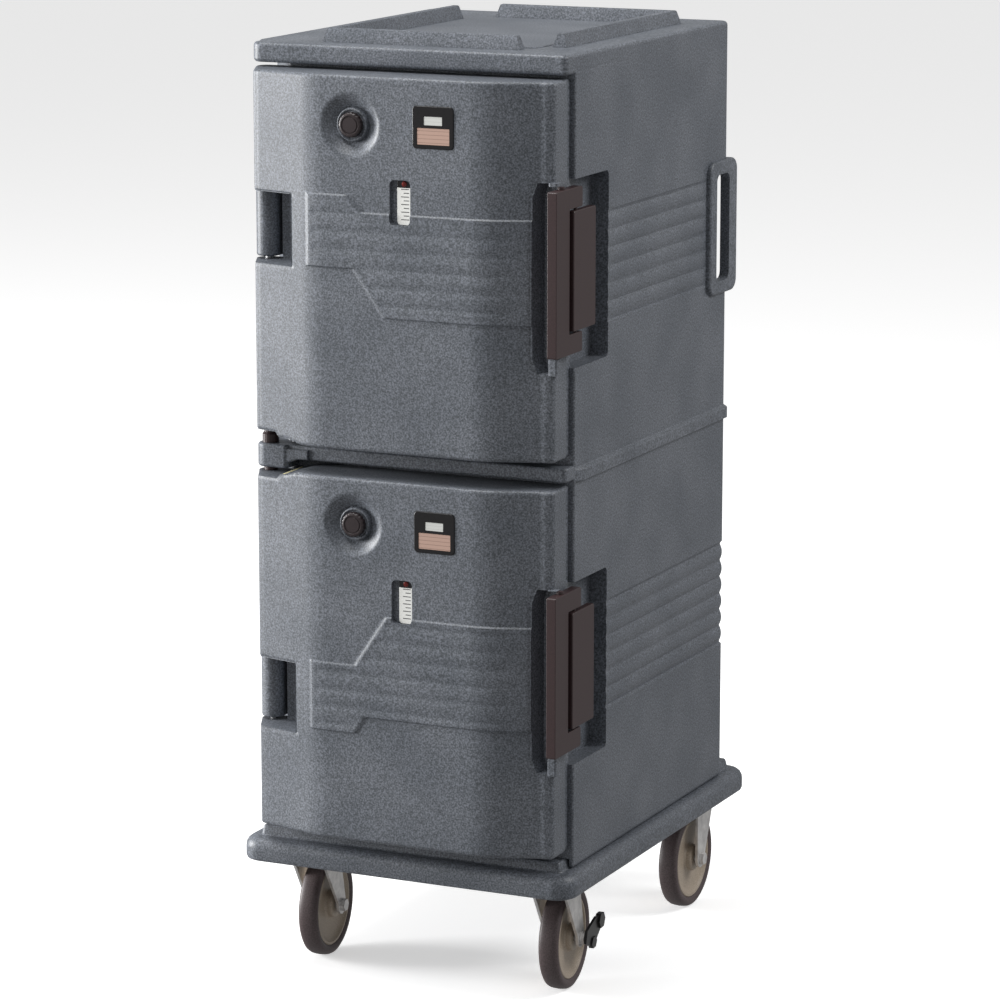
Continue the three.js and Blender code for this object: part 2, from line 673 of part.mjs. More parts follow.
function makeGauge(level) {
  const z = level.gauge;
  const plate = block(GAUGE.plateLeft, GAUGE.right - GAP, -354, GAUGE.floor - GAP, z - 30.5, z + 21);
  add(`${level.name}_indicator_plate`, plate, material(0xe8e8e4, 0.4));
  const lamp = turnedAlongY([
    [0, GAUGE.floor - GAP], [4, GAUGE.floor - GAP], [4, -354.5], [2.5, -356], [0, -356]], 16);
  add(`${level.name}_pilot_lamp`, lamp.translate([28, 0, z + 26]), material(0xb03020, 0.2));
}

function makeLatch(level) {
  const z = level.latch;
  const h = FRAME.height / 2;
  const outline = polygon([
    [FRAME.front, z - h], [FRAME.rear, z - h], [FRAME.rear, z - h + FRAME.arm],
    [FRAME.window, z - h + FRAME.arm], [FRAME.window, z + h - FRAME.arm],
    [FRAME.rear, z + h - FRAME.arm], [FRAME.rear, z + h], [FRAME.front, z + h]]);
  let frame = prismAlongX(outline, FRAME.inner, FRAME.outer, 1.5);
  for (const lug of [z - LUG.offset, z + LUG.offset]) {
    const slot = block(
      FRAME.inner - 5, FRAME.outer - 3, FRAME_SLOT.front, FRAME_SLOT.rear, lug - LUG.half - 1,
      lug + LUG.half + 1);
    frame = frame.subtract(slot);
  }
  const framePin = rod(LATCH_PIN, FRAME_PIVOT.x, FRAME_PIVOT.y, z - h - 2, z + h + 2, 12)
    .add(rod(5, FRAME_PIVOT.x + 1, FRAME_PIVOT.y, z + h + GAP, z + h + 4, 16));
  const frameBore = rod(LATCH_PIN + GAP, FRAME_PIVOT.x, FRAME_PIVOT.y, z - h - 9, z + h + 9, 12);
  const leverBore = rod(LATCH_PIN + GAP, LEVER_PIVOT.x, LEVER_PIVOT.y, z - 100, z + 100, 12);
  add(`${level.name}_latch_frame`, frame.subtract(frameBore).subtract(leverBore), BROWN());
  add(`${level.name}_latch_frame_pin`, framePin, BROWN());

  const lh = LEVER.height / 2;
  const plate = roundedRectangle(LEVER.front, LEVER.rear, z - lh, z + lh, 4);
  const lever = prismAlongX(plate, LEVER.inner, LEVER.outer, 2);
  add(`${level.name}_latch_lever`, lever.subtract(leverBore), BROWN());
  const leverPin = rod(LATCH_PIN, LEVER_PIVOT.x, LEVER_PIVOT.y, z - 99, z + 99, 12);
  add(`${level.name}_latch_lever_pin`, leverPin, STEEL());
}

// ---------------------------------------------------------------- hinge hardware
function makeHingeHardware() {
  for (const level of LEVELS) {
    const z = level.knuckle;
    const half = KNUCKLE_HEIGHT / 2;
    const pin = rod(PIN_RADIUS, HINGE.x, HINGE.y, z - half - 40, z + half + 40, 16);
    add(`${level.name}_hinge_pin`, pin, STEEL());
  }
  const r = PIN_RADIUS;
  const upper = turned([
    [0, BOSS.top - 15], [r, BOSS.top - 15], [r, BOSS.top + GAP], [12, BOSS.top + GAP], [12, 797],
    [9.5, 800], [9.5, 810.5], [r, 810.5], [r, 850], [0, 850]], 20);
  const lower = turned([
    [0, 704], [r, 704], [r, 745.3], [10, 745.3], [10, BOSS.bottom - GAP], [r, BOSS.bottom - GAP],
    [r, BOSS.bottom + 15], [0, BOSS.bottom + 15]], 20);
  const at = [HINGE.x, HINGE.y, 0];
  add('upper_hinge_bush', upper.translate(at), BROWN());
  add('lower_hinge_bush', lower.translate(at), BROWN());
}

// ---------------------------------------------------------------- casters
// Fork sheet seen from the side: round at the axle, wide at the crown
function forkSheet(axleY, crownY, crownHalf) {
  const top = FORK.crownTop;
  const shape = new THREE.Shape();
  shape.moveTo(crownY - crownHalf, top);
  shape.lineTo(crownY - crownHalf, top - 14);
  shape.lineTo(axleY - FORK.eye, WHEEL.radius + 4);
  shape.absarc(axleY, WHEEL.radius, FORK.eye, Math.PI, Math.PI * 2);
  shape.lineTo(crownY + crownHalf, top - 14);
  shape.lineTo(crownY + crownHalf, top);
  shape.closePath();
  return shape;
}

// Fork about a wheel plane at x = 0
function makeFork(axleY, crownY, crownHalf) {
  const outer = FORK.half + FORK.sheet / 2;
  const inner = outer - FORK.sheet;
  const sheet = forkSheet(axleY, crownY, crownHalf);
  const crown = block(
    -outer, outer, crownY - crownHalf, crownY + crownHalf, FORK.crownBottom, FORK.crownTop);
  const bore = rodAlongX(WHEEL.axle + GAP, -40, 40, axleY, WHEEL.radius, 16);
  return union([prismAlongX(sheet, inner, outer), prismAlongX(sheet, -outer, -inner), crown])
    .subtract(bore);
}

function makeWheel(prefix, parent, axleY) {
  const half = WHEEL.tread / 2;
  const { radius, rim, core, axle } = WHEEL;
  const at = [0, axleY, radius];
  const tyre = turnedAlongX([
    [rim + GAP, -half + 3], [radius - 7, -half], [radius - 1.5, -half + 4], [radius, 0],
    [radius - 1.5, half - 4], [radius - 7, half], [rim + GAP, half - 3], [rim + GAP, -half + 3]], 24);
  const hub = turnedAlongX([
    [axle + GAP, -17], [core, -17], [core + 2, -7], [rim - 8, -6], [rim - 4, -half + 2.5],
    [rim, -half + 3.5], [rim, half - 3.5], [rim - 4, half - 2.5], [rim - 8, 6], [core + 2, 7],
    [core, 17], [axle + GAP, 17], [axle + GAP, -17]], 24);
  add(`${prefix}_tyre`, tyre.translate(at), TREAD(), parent);
  add(`${prefix}_wheel_hub`, hub.translate(at), HUB(), parent);
}

function makeAxle(prefix, parent, axleY) {
  const outer = FORK.half + FORK.sheet / 2 + GAP;
  const bolt = rodAlongX(WHEEL.axle, -outer - 6, outer + 6, axleY, WHEEL.radius, 16);
  const head = rodAlongX(9.5, outer, outer + 6, axleY, WHEEL.radius, 6);
  const nut = rodAlongX(9.5, -outer - 6, -outer, axleY, WHEEL.radius, 6);
  add(`${prefix}_axle_bolt`, union([bolt, head, nut]), ZINC(), parent);
}

function makeSwivelCaster(prefix, side) {
  const plateX = side * FRONT_CASTER.x;
  const plateZ = PLATE_Z - GAP;
  const kingpin = rod(6, plateX, FRONT_CASTER.y, FORK.crownBottom - 1, plateZ - 2, 16);
  const race = rod(RACEWAY_RADIUS, plateX, FRONT_CASTER.y, FORK.crownTop + 4, plateZ - 2, 24);
  const plate = block(
    plateX - 45, plateX + 45, FRONT_CASTER.y - 52, FRONT_CASTER.y + 52, plateZ - 3, plateZ);
  add(`${prefix}_caster_plate`, union([plate, race, kingpin]), ZINC());

  const caster = new THREE.Group();
  caster.position.set(plateX, FRONT_CASTER.y, 0);
  caster.rotation.z = THREE.MathUtils.degToRad(FRONT_CASTER.toe);
  cart.add(caster);
  const dust = rod(24, 0, 0, FORK.crownTop - 1, FORK.crownTop + 3.5, 24);
  const hole = rod(6 + GAP, 0, 0, 100, 200, 16);
  const fork = makeFork(FRONT_CASTER.trail, 4, 29).add(dust).subtract(hole);
  add(`${prefix}_caster_fork`, fork, ZINC(), caster);
  makeWheel(prefix, caster, FRONT_CASTER.trail);
  makeAxle(prefix, caster, FRONT_CASTER.trail);
  return caster;
}

function makeRigidCaster(prefix, side) {
  const caster = new THREE.Group();
  caster.position.set(side * REAR_CASTER.x, 0, 0);
  cart.add(caster);
  const plateZ = PLATE_Z - GAP;
  const plate = block(-45, 45, REAR_CASTER.plateY - 46, REAR_CASTER.plateY + 46, plateZ - 3, plateZ);
  const riser = block(
    -26, 26, REAR_CASTER.plateY - 29, REAR_CASTER.plateY + 29, FORK.crownBottom, plateZ - 2);
  const fork = makeFork(REAR_CASTER.axleY, REAR_CASTER.plateY, 29);
  add(`${prefix}_caster_fork`, union([fork, riser, plate]), ZINC(), caster);
  makeWheel(prefix, caster, REAR_CASTER.axleY);
  makeAxle(prefix, caster, REAR_CASTER.axleY);
}

// Foot lever on the latch-side swivel caster; it turns about the axle bolt
function makeBrake(caster) {
  const inner = FORK.half + FORK.sheet / 2 + 7;
  const y = FRONT_CASTER.trail;
  const arm = new THREE.Shape();
  arm.moveTo(y - 10, WHEEL.radius - 6);
  arm.lineTo(y + 22, WHEEL.radius - 20);
  arm.lineTo(y + 58, WHEEL.radius + 2);
  arm.lineTo(y + 60, WHEEL.radius + 18);
  arm.lineTo(y + 36, WHEEL.radius + 22);
  arm.lineTo(y - 4, WHEEL.radius + 12);
  arm.closePath();
  const lever = prismAlongX(arm, inner, inner + 4);
  const pad = new THREE.Shape();
  pad.absellipse(y + 54, WHEEL.radius + 12, 13, 12, 0, Math.PI * 2);
  const low = new THREE.Shape();
  low.absellipse(y + 22, WHEEL.radius - 12, 11, 9, 0, Math.PI * 2);
  const parts = [lever, prismAlongX(pad, inner - 1, inner + 7), prismAlongX(low, inner - 1, inner + 6)];
  add('brake_lever', union(parts), BLACK(), caster);
}

// ---------------------------------------------------------------- assembly
makeBase();
makeBody();
for (const level of LEVELS) {
  makeDoorShell(level);
  makeDoorLiner(level);
  makeGasket(level);
  makeVent(level);
  makeThermometer(level);
  makeGauge(level);
  makeLatch(level);
}
makeHingeHardware();
makeSwivelCaster('front_left', -1);
makeBrake(makeSwivelCaster('front_right', 1));
makeRigidCaster('rear_left', -1);
makeRigidCaster('rear_right', 1);

export default cart;
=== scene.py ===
# %% [markdown]
# # A heated food carrier on four casters
# The real thing is a catering cart: one tall moulded cabinet with two insulated compartments, a thick
# door on each, and a skirted base on casters. The CAD frame fixes every size and joint. This lesson
# gives each piece the surface that you would see and touch. Sizes are in millimetres.

# %% Load the frame
import math

import bmesh
import bpy
import numpy as np
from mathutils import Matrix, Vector


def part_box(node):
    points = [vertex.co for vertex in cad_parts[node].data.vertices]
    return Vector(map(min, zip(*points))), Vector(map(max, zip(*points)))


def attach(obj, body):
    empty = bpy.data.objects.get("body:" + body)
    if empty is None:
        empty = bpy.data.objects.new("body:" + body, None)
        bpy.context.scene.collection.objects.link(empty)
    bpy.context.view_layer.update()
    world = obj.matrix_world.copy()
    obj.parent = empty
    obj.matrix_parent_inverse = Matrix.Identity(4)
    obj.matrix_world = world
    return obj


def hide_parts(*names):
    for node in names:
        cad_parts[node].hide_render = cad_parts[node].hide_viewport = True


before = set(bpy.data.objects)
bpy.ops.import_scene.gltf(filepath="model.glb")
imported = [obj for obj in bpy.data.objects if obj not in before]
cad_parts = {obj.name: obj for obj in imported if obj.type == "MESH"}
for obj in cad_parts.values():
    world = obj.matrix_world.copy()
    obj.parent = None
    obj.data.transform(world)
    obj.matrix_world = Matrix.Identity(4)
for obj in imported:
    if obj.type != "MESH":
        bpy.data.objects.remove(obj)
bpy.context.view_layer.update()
MM = 0.001


def span(node):
    """Lowest and highest corner of a CAD node, in millimetres."""
    low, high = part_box(node)
    return Vector(low) / MM, Vector(high) / MM


body_low, body_high = span("body_shell")
base_low, base_high = span("base")

# %% [markdown]
# ## Nodes and colours
# One function adds a node with its settings and inputs. Another turns an sRGB hex colour into the
# linear numbers that the shader wants.


# %% Node and colour helpers
def linear(hex_colour):
    """sRGB hex, such as 0x6B7078, to linear RGBA."""
    channels = [(hex_colour >> shift & 255) / 255 for shift in (16, 8, 0)]
    return [c / 12.92 if c < 0.04045 else ((c + 0.055) / 1.055) ** 2.4 for c in channels] + [1.0]


def add_node(tree, kind, settings=(), inputs=()):
    """Add a node; an input is a value or another node's output."""
    made = tree.nodes.new("ShaderNode" + kind)
    for name, value in dict(settings).items():
        setattr(made, name, value)
    for key, value in dict(inputs).items():
        if isinstance(value, bpy.types.NodeSocket):
            tree.links.new(value, made.inputs[key])
        else:
            made.inputs[key].default_value = value
    return made


def new_material(name, **values):
    """A Principled material; values are its uniform sockets, underscores for spaces."""
    finish = bpy.data.materials.new(name)
    finish.use_nodes = True
    shader = finish.node_tree.nodes["Principled BSDF"]
    for key, value in values.items():
        shader.inputs[key.replace("_", " ")].default_value = value
    return finish, finish.node_tree, shader


def grain(tree, size_mm, detail=2.0, stretch=(1, 1, 1)):
    """Noise whose lumps are about size_mm across, in the object's own metres."""
    place = add_node(tree, "TexCoord").outputs["Object"]
    scaled = add_node(tree, "Mapping", inputs={"Vector": place, "Scale": stretch})
    scale = 1 / (size_mm * MM)
    noise = add_node(tree, "TexNoise", inputs={
        "Vector": scaled.outputs["Vector"], "Scale": scale, "Detail": detail})
    return noise.outputs["Fac"]


def ramp(tree, value, stops):
    """Colour ramp from (position, hex) stops."""
    made = add_node(tree, "ValToRGB", inputs={"Fac": value})
    ends = made.color_ramp.elements
    for i, (place, colour) in enumerate(stops):
        stop = ends[i] if i < 2 else ends.new(place)
        stop.position = place
        stop.color = linear(colour)
    return made.outputs["Color"]


def bumps(tree, shader, height, depth_mm, strength=1.0):
    """Feed a height field to the shader's normal."""
    made = add_node(tree, "Bump", inputs={
        "Height": height, "Distance": depth_mm * MM, "Strength": strength})
    tree.links.new(made.outputs["Normal"], shader.inputs["Normal"])


# %% [markdown]
# ## Moulded polyethylene
# The cabinet, base and doors are rotationally moulded from coloured powder. Grains of dark and light
# powder fuse side by side, so the surface is speckled at about 2 mm, and it cools with a faint
# orange-peel texture and a satin sheen. A picture of speckles would stretch round the corners, so noise
# in the object's own space is used instead: it runs through the solid as the real powder does. One noise
# makes the speckle, a second the slow drift of its tone, a third the texture.


# %% Speckled polyethylene
def speckled_polyethylene(name="speckled_polyethylene"):
    finish, tree, shader = new_material(name, Roughness=0.46, IOR=1.5)
    fleck = ramp(tree, grain(tree, 2.4, 3.0), [
        (0.36, 0x4A4E53), (0.64, 0x7C8089), (0.46, 0x5F6369), (0.54, 0x696D74)])
    cloud = ramp(tree, grain(tree, 90, 1.0), [(0.3, 0xE4E6E8), (0.7, 0xFFFFFF)])
    mixed = add_node(tree, "Mix", {"data_type": "RGBA", "blend_type": "MULTIPLY"}, {
        0: 1.0, 6: fleck, 7: cloud})
    tree.links.new(mixed.outputs[2], shader.inputs["Base Color"])
    bumps(tree, shader, grain(tree, 3.2, 2.0), 0.2, 0.2)
    return finish


polyethylene = speckled_polyethylene()
print("made", polyethylene.name)

# %% [markdown]
# ## Nylon, rubber and other plastics
# The latches, vent caps and hinge bushes are dark brown glass-filled nylon, which is matt with a very
# fine moulded grain. The wheel treads are a grey-brown rubber, the wheel cores a tan polypropylene.
# They differ only in colour, gloss and grain size, so one function makes them all. The real grain is
# a few tenths of a millimetre; it is drawn at 1.2 mm, because finer than that it would not show.


# %% Plain mouldings
def moulded(name, dark, light, roughness, size_mm=1.2, depth_mm=0.06, ior=1.5, **more):
    """A moulded plastic or rubber: two close colours in a fine grain."""
    finish, tree, shader = new_material(name, Roughness=roughness, IOR=ior, **more)
    fine = grain(tree, size_mm, 3.0)
    colour = ramp(tree, fine, [(0.35, dark), (0.65, light)])
    tree.links.new(colour, shader.inputs["Base Color"])
    bumps(tree, shader, fine, depth_mm, 0.4)
    return finish


brown_nylon = moulded("brown_nylon", 0x302122, 0x3A292A, 0.42)
black_abs = moulded("black_abs", 0x0E0D0E, 0x1A181A, 0.28)
epdm_rubber = moulded("epdm_rubber", 0x232427, 0x313236, 0.72)
tread_rubber = moulded("tread_rubber", 0x453A3A, 0x584C4D, 0.5, 2.0)
tan_polypropylene = moulded("tan_polypropylene", 0x978A7B, 0xB5A796, 0.4)
white_label = moulded("white_label_plastic", 0xDCDCD8, 0xF0F0EC, 0.35)
printing_ink = moulded("printing_ink", 0x303032, 0x4A4A4C, 0.5)
insulation_foam = moulded("polyurethane_foam", 0xC9BE86, 0xE2D9A8, 0.9, 3.0, 0.5)
vent_nylon = moulded("vent_nylon", 0x261E1F, 0x31282A, 0.36)
print("plain mouldings: brown, black, rubber, tread, tan, white, ink and foam")

# %% [markdown]
# ## Metals and the display
# The caster forks are pressed steel with bright zinc plating, which shows soft cloudy patches. The
# heater cover is brushed stainless steel: long thin scratches along one direction. The display and
# the solar cell sit behind a clear glossy window, so both have a coat. One noise drifts a metal's colour
# and its roughness together, which reads as plating or brushing rather than as dirt.


# %% Metals
def plated_steel(name, dark, light, roughness, size_mm, stretch=(1, 1, 1), metal=1.0):
    """A metal whose colour and smoothness drift over the surface."""
    finish, tree, shader = new_material(name, Metallic=metal)
    patch = grain(tree, size_mm, 4.0, stretch)
    tree.links.new(ramp(tree, patch, [(0.3, dark), (0.7, light)]), shader.inputs["Base Color"])
    rough = add_node(tree, "MapRange", inputs={
        "Value": patch, "To Min": roughness - 0.07, "To Max": roughness + 0.1})
    tree.links.new(rough.outputs["Result"], shader.inputs["Roughness"])
    bumps(tree, shader, patch, 0.05, 0.15)
    return finish


zinc_plate = plated_steel("zinc_plated_steel", 0xC9C7C6, 0xF0EEEC, 0.34, 14, metal=0.75)
stainless = plated_steel("brushed_stainless", 0xA5A6A8, 0xC4C5C6, 0.34, 2, (0.03, 1, 1))
heater_sheath = plated_steel("heater_sheath", 0x2A2422, 0x4A3C34, 0.5, 6)


# %% Display, solar cell and lamp
def striped_cell(name, light, dark, pitch_mm, share):
    """A glossy cell with thin level lines."""
    finish, tree, shader = new_material(
        name, Roughness=0.35, Coat_Weight=1.0, Coat_Roughness=0.04, IOR=1.5)
    place = add_node(tree, "TexCoord").outputs["Object"]
    z = add_node(tree, "SeparateXYZ", inputs={"Vector": place}).outputs["Z"]
    turns = add_node(tree, "Math", {"operation": "DIVIDE"}, {0: z, 1: pitch_mm * MM})
    phase = add_node(tree, "Math", {"operation": "FRACT"}, {0: turns.outputs[0]})
    made = ramp(tree, phase.outputs[0], [(0.0, dark), (share, light)])
    tree.links.new(made, shader.inputs["Base Color"])
    return finish


solar_film = striped_cell("solar_film", 0xB9998A, 0x7E6459, 5.4, 0.2)
lcd_window = striped_cell("lcd_window", 0xCFD0CC, 0xB6B8B4, 4.5, 0.2)
red_lens = moulded("red_lens", 0x4E120C, 0x6A1A12, 0.15)
print("materials:", len(bpy.data.materials))

# %% [markdown]
# ## Outlines
# Nearly every piece is an outline carried along an axis. An outline is a list of corners with radii:
# straight runs are divided finely only where the surface will carry relief, and arcs follow the
# radius, so a rounded corner is really round. A bevel modifier could round them too, but it gives every
# edge one radius, and a moulding has a different one at each corner.


# %% Outline helpers
UNDIVIDED = 400.0


def rounded_outline(corners, step=lambda p: UNDIVIDED, turn=9.0):
    """Closed outline from (x, y, radius) corners; step gives the longest edge allowed at a point."""
    points = []
    for i, (x, y, radius) in enumerate(corners):
        corner = Vector((x, y))
        back = (Vector(corners[i - 1][:2]) - corner).normalized()
        on = (Vector(corners[(i + 1) % len(corners)][:2]) - corner).normalized()
        if radius <= 0:
            points.append(corner)
            continue
        half = back.angle(on) / 2
        centre = corner + (back + on).normalized() * (radius / math.sin(half))
        spoke = corner + back * (radius / math.tan(half)) - centre
        last = corner + on * (radius / math.tan(half)) - centre
        sweep = math.copysign(math.pi - 2 * half, spoke.cross(last))
        count = max(2, math.ceil(abs(math.degrees(sweep)) / turn),
                    math.ceil(abs(sweep) * radius / step(corner)))
        for k in range(count + 1):
            a = sweep * k / count
            points.append(centre + Vector((
                spoke.x * math.cos(a) - spoke.y * math.sin(a),
                spoke.x * math.sin(a) + spoke.y * math.cos(a))))
    outline = []
    for p, q in zip(points, points[1:] + points[:1]):
        length = (q - p).length
        if length > 1e-4:
            count = max(1, math.ceil(length / step((p + q) / 2)))
            outline += [p.lerp(q, k / count) for k in range(count)]
    return np.array([(p.x, p.y) for p in outline])


def rectangle(x0, x1, y0, y1, radius):
    """Four corners of one radius, counter-clockwise."""
    return [(x1, y0, radius), (x1, y1, radius), (x0, y1, radius), (x0, y0, radius)]


def outward(outline):
    """Outward normal at each point, and how far a mitred corner must stretch."""
    ahead = np.roll(outline, -1, 0) - outline
    ahead /= np.linalg.norm(ahead, axis=1, keepdims=True)
    behind = np.roll(ahead, 1, 0)
    tangent = ahead + behind
    tangent /= np.linalg.norm(tangent, axis=1, keepdims=True)
    turned = np.roll(outline, -1, 0)
    area = np.sum(outline[:, 0] * turned[:, 1] - turned[:, 0] * outline[:, 1])
    side = 1.0 if area > 0 else -1.0
    normal = side * np.stack([tangent[:, 1], -tangent[:, 0]], 1)
    stretch = 1 / np.clip(np.sum(tangent * ahead, axis=1), 0.3, 1)
    return normal, stretch


# %% [markdown]
# ## Lofts
# A loft repeats the outline at a row of heights. Each ring may be inset, which rounds the ends, and a
# relief function may push every point in or out, which is how the soft ribs and dishes of a moulding
# are made without any texture. Every rib stays at its exact height, which sculpting would not promise.


# %% Loft helper
def rounded_rings(low, high, edge, rows=(), steps=4):
    """(height, inset) rings with a quarter round at both ends."""
    arc = [math.pi / 2 * k / steps for k in range(steps + 1)]
    foot = [(low + edge * (1 - math.cos(a)), edge * (1 - math.sin(a))) for a in arc]
    head = [(high - edge * (1 - math.cos(a)), edge * (1 - math.sin(a))) for a in reversed(arc)]
    middle = [(z, 0.0) for z in rows if low + edge + 0.5 < z < high - edge - 0.5]
    return foot + middle + head


def loft(outline, rings, axis="Z", relief=None):
    """(vertices, faces) of a closed solid; axis says which way the rings climb."""
    normal, stretch = outward(outline)
    height = np.array([r[0] for r in rings])[:, None]
    inset = np.array([r[1] for r in rings])[:, None]
    u = outline[None, :, 0] - normal[None, :, 0] * stretch * inset
    v = outline[None, :, 1] - normal[None, :, 1] * stretch * inset
    w = np.broadcast_to(height, u.shape)
    if relief is not None:
        depth = relief(u, v, w, np.broadcast_to(normal[None], u.shape + (2,)))
        u = u - normal[None, :, 0] * depth
        v = v - normal[None, :, 1] * depth
    order = {"Z": (u, v, w), "X": (w, u, v), "Y": (u, w, v)}[axis]
    points = np.stack(order, -1).reshape(-1, 3)
    rows, count = u.shape
    faces = []
    for r in range(rows - 1):
        for i in range(count):
            j = (i + 1) % count
            faces.append((r * count + i, r * count + j, (r + 1) * count + j, (r + 1) * count + i))
    faces.append(tuple(range(count))[::-1])
    faces.append(tuple(range((rows - 1) * count, rows * count)))
    return points, faces


def turned(profile, axis, centre, segments=48, flute=None):
    """Closed turned solid from (radius, height) points; flute(angle, r) may shape the rim."""
    points, faces = [], []
    rows = len(profile)
    for k in range(segments):
        a = math.tau * k / segments
        for r, h in profile:
            r = flute(a, r) if flute else r
            u, v = r * math.cos(a), r * math.sin(a)
            place = {"X": (h, u, v), "Y": (v, h, u), "Z": (u, v, h)}[axis]
            points.append([c + p for c, p in zip(centre, place)])
    for k in range(segments):
        for i in range(rows):
            a, b = k * rows + i, k * rows + (i + 1) % rows
            c, d = ((k + 1) % segments) * rows + (i + 1) % rows, ((k + 1) % segments) * rows + i
            faces.append((a, b, c, d))
    return np.array(points), faces


# %% [markdown]
# ## Joining, cutting and smoothing
# Solids become objects in metres. Union and difference use the fast manifold solver. At the end, edges
# sharper than a set angle stay crisp, and the rest are shaded smooth with face-weighted normals, so
# that large flat faces stay flat next to their rounded edges.


# %% Mesh helpers
def make_object(name, solid):
    """One mesh object from a (vertices, faces) solid."""
    points, faces = solid
    mesh = bpy.data.meshes.new(name)
    mesh.from_pydata([tuple(p) for p in np.asarray(points) * MM], [], faces)
    work = bmesh.new()
    work.from_mesh(mesh)
    bmesh.ops.remove_doubles(work, verts=work.verts, dist=1e-7)
    bmesh.ops.dissolve_degenerate(work, edges=work.edges, dist=1e-7)
    bmesh.ops.recalc_face_normals(work, faces=work.faces)
    work.to_mesh(mesh)
    work.free()
    piece = bpy.data.objects.new(name, mesh)
    bpy.context.scene.collection.objects.link(piece)
    return piece


def bake_modifiers(piece):
    """Replace the mesh by its evaluated self."""
    graph = bpy.context.evaluated_depsgraph_get()
    done = bpy.data.meshes.new_from_object(piece.evaluated_get(graph))
    piece.modifiers.clear()
    piece.data = done


def combine(piece, tools, operation):
    """Join or cut with each tool, and throw the tools away."""
    for tool in tools:
        if not isinstance(tool, bpy.types.Object):
            tool = make_object("tool", tool)
        step = piece.modifiers.new("combine", "BOOLEAN")
        step.operation = operation
        step.solver = "MANIFOLD"
        step.object = tool
        bake_modifiers(piece)
        bpy.data.objects.remove(tool)
    return piece


def copy_of(node):
    """A loose copy of a CAD node, to cut with."""
    copied = bpy.data.objects.new("tool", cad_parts[node].data.copy())
    bpy.context.scene.collection.objects.link(copied)
    work = bmesh.new()
    work.from_mesh(copied.data)
    bmesh.ops.remove_doubles(work, verts=work.verts, dist=1e-6)
    work.to_mesh(copied.data)
    work.free()
    return copied


def dress(piece, finish, body, slot, *nodes, sharp=32.0):
    """Smooth shading, material, body and the CAD nodes that the piece stands for."""
    work = bmesh.new()
    work.from_mesh(piece.data)
    for face in work.faces:
        face.smooth = True
    for edge in work.edges:
        edge.smooth = len(edge.link_faces) == 2 and edge.calc_face_angle(0) < math.radians(sharp)
    work.to_mesh(piece.data)
    work.free()
    piece.data.materials.clear()
    piece.data.materials.append(finish)
    weigh = piece.modifiers.new("weighted normals", "WEIGHTED_NORMAL")
    weigh.keep_sharp = True
    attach(piece, body)
    if nodes:
        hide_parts(*nodes)
    print(piece.name, len(piece.data.polygons), "faces")
    return piece


# %% Plain solids
def block(x0, x1, y0, y1, z0, z1):
    """Plain box solid for cutting and joining."""
    return loft(rounded_outline(rectangle(x0, x1, y0, y1, 0)), [(z0, 0), (z1, 0)])


def sharp(points):
    """Corners without a radius."""
    return [(x, z, 0.0) for x, z in points]


def along_y(corners, y0, y1, edge=0.0):
    """Solid from an (x, z) outline carried along Y."""
    rings = rounded_rings(y0, y1, edge) if edge else [(y0, 0), (y1, 0)]
    return loft(rounded_outline(corners), rings, "Y")


def along_x(corners, x0, x1, edge=0.0):
    """Solid from a (y, z) outline carried along X."""
    rings = rounded_rings(x0, x1, edge) if edge else [(x0, 0), (x1, 0)]
    return loft(rounded_outline(corners), rings, "X")


def joined(solids):
    """Several loose solids in one mesh."""
    points, faces = [], []
    for more, sides in solids:
        faces += [tuple(i + len(points) for i in face) for face in sides]
        points += [tuple(p) for p in more]
    return np.array(points), faces


def mirror_x(piece):
    """Carry a piece over to the other side of the cart."""
    for vertex in piece.data.vertices:
        vertex.co.x = -vertex.co.x
    piece.data.flip_normals()
    return piece


print("a 10 mm block has", len(block(0, 10, 0, 10, 0, 10)[1]), "faces")


# %% [markdown]
# ## Relief fields
# Relief is a depth in millimetres at each point. Distances to a polygon or a circle are eased into
# soft steps, because powder never fills a sharp corner of the mould.


# %% Relief helpers
def ease(t):
    t = np.clip(t, 0, 1)
    return t * t * (3 - 2 * t)


def inside_distance(corners, x, z):
    """Distance to a closed polygon's edge, positive inside it."""
    nearest = np.full(x.shape, 1e9)
    inside = np.zeros(x.shape, bool)
    for (ax, az), (bx, bz) in zip(corners, corners[1:] + corners[:1]):
        ex, ez = bx - ax, bz - az
        t = np.clip(((x - ax) * ex + (z - az) * ez) / (ex * ex + ez * ez), 0, 1)
        nearest = np.minimum(nearest, np.hypot(x - ax - t * ex, z - az - t * ez))
        crosses = (az > z) != (bz > z)
        inside ^= crosses & (x < ax + (z - az) * ex / (ez if abs(ez) > 1e-9 else 1e-9))
    return np.where(inside, nearest, -nearest)


def lip_round(outside, radius):
    """Rounding of an edge at distance `outside` from the cut."""
    t = np.clip(outside, 0, radius)
    return radius - np.sqrt(np.maximum(radius ** 2 - (radius - t) ** 2, 0))


def scallops(z, bottom, count, pitch, depth):
    """Convex bands between narrow valleys, zero outside the stack."""
    phase = (z - bottom) / pitch
    valley = depth * (1 - np.abs(np.sin(np.pi * phase))) ** 1.15
    return np.where((phase > -0.12) & (phase < count + 0.12), valley, 0.0)


# %% [markdown]
# ## Doors
# Each door is a deep moulded dish. Its front carries a dished vent seat, a shallow band with faint
# ribs, and soft lips round the openings for the hinge knuckle and the latch. All of that is relief on
# one fine loft, and only the deep pockets are cut.

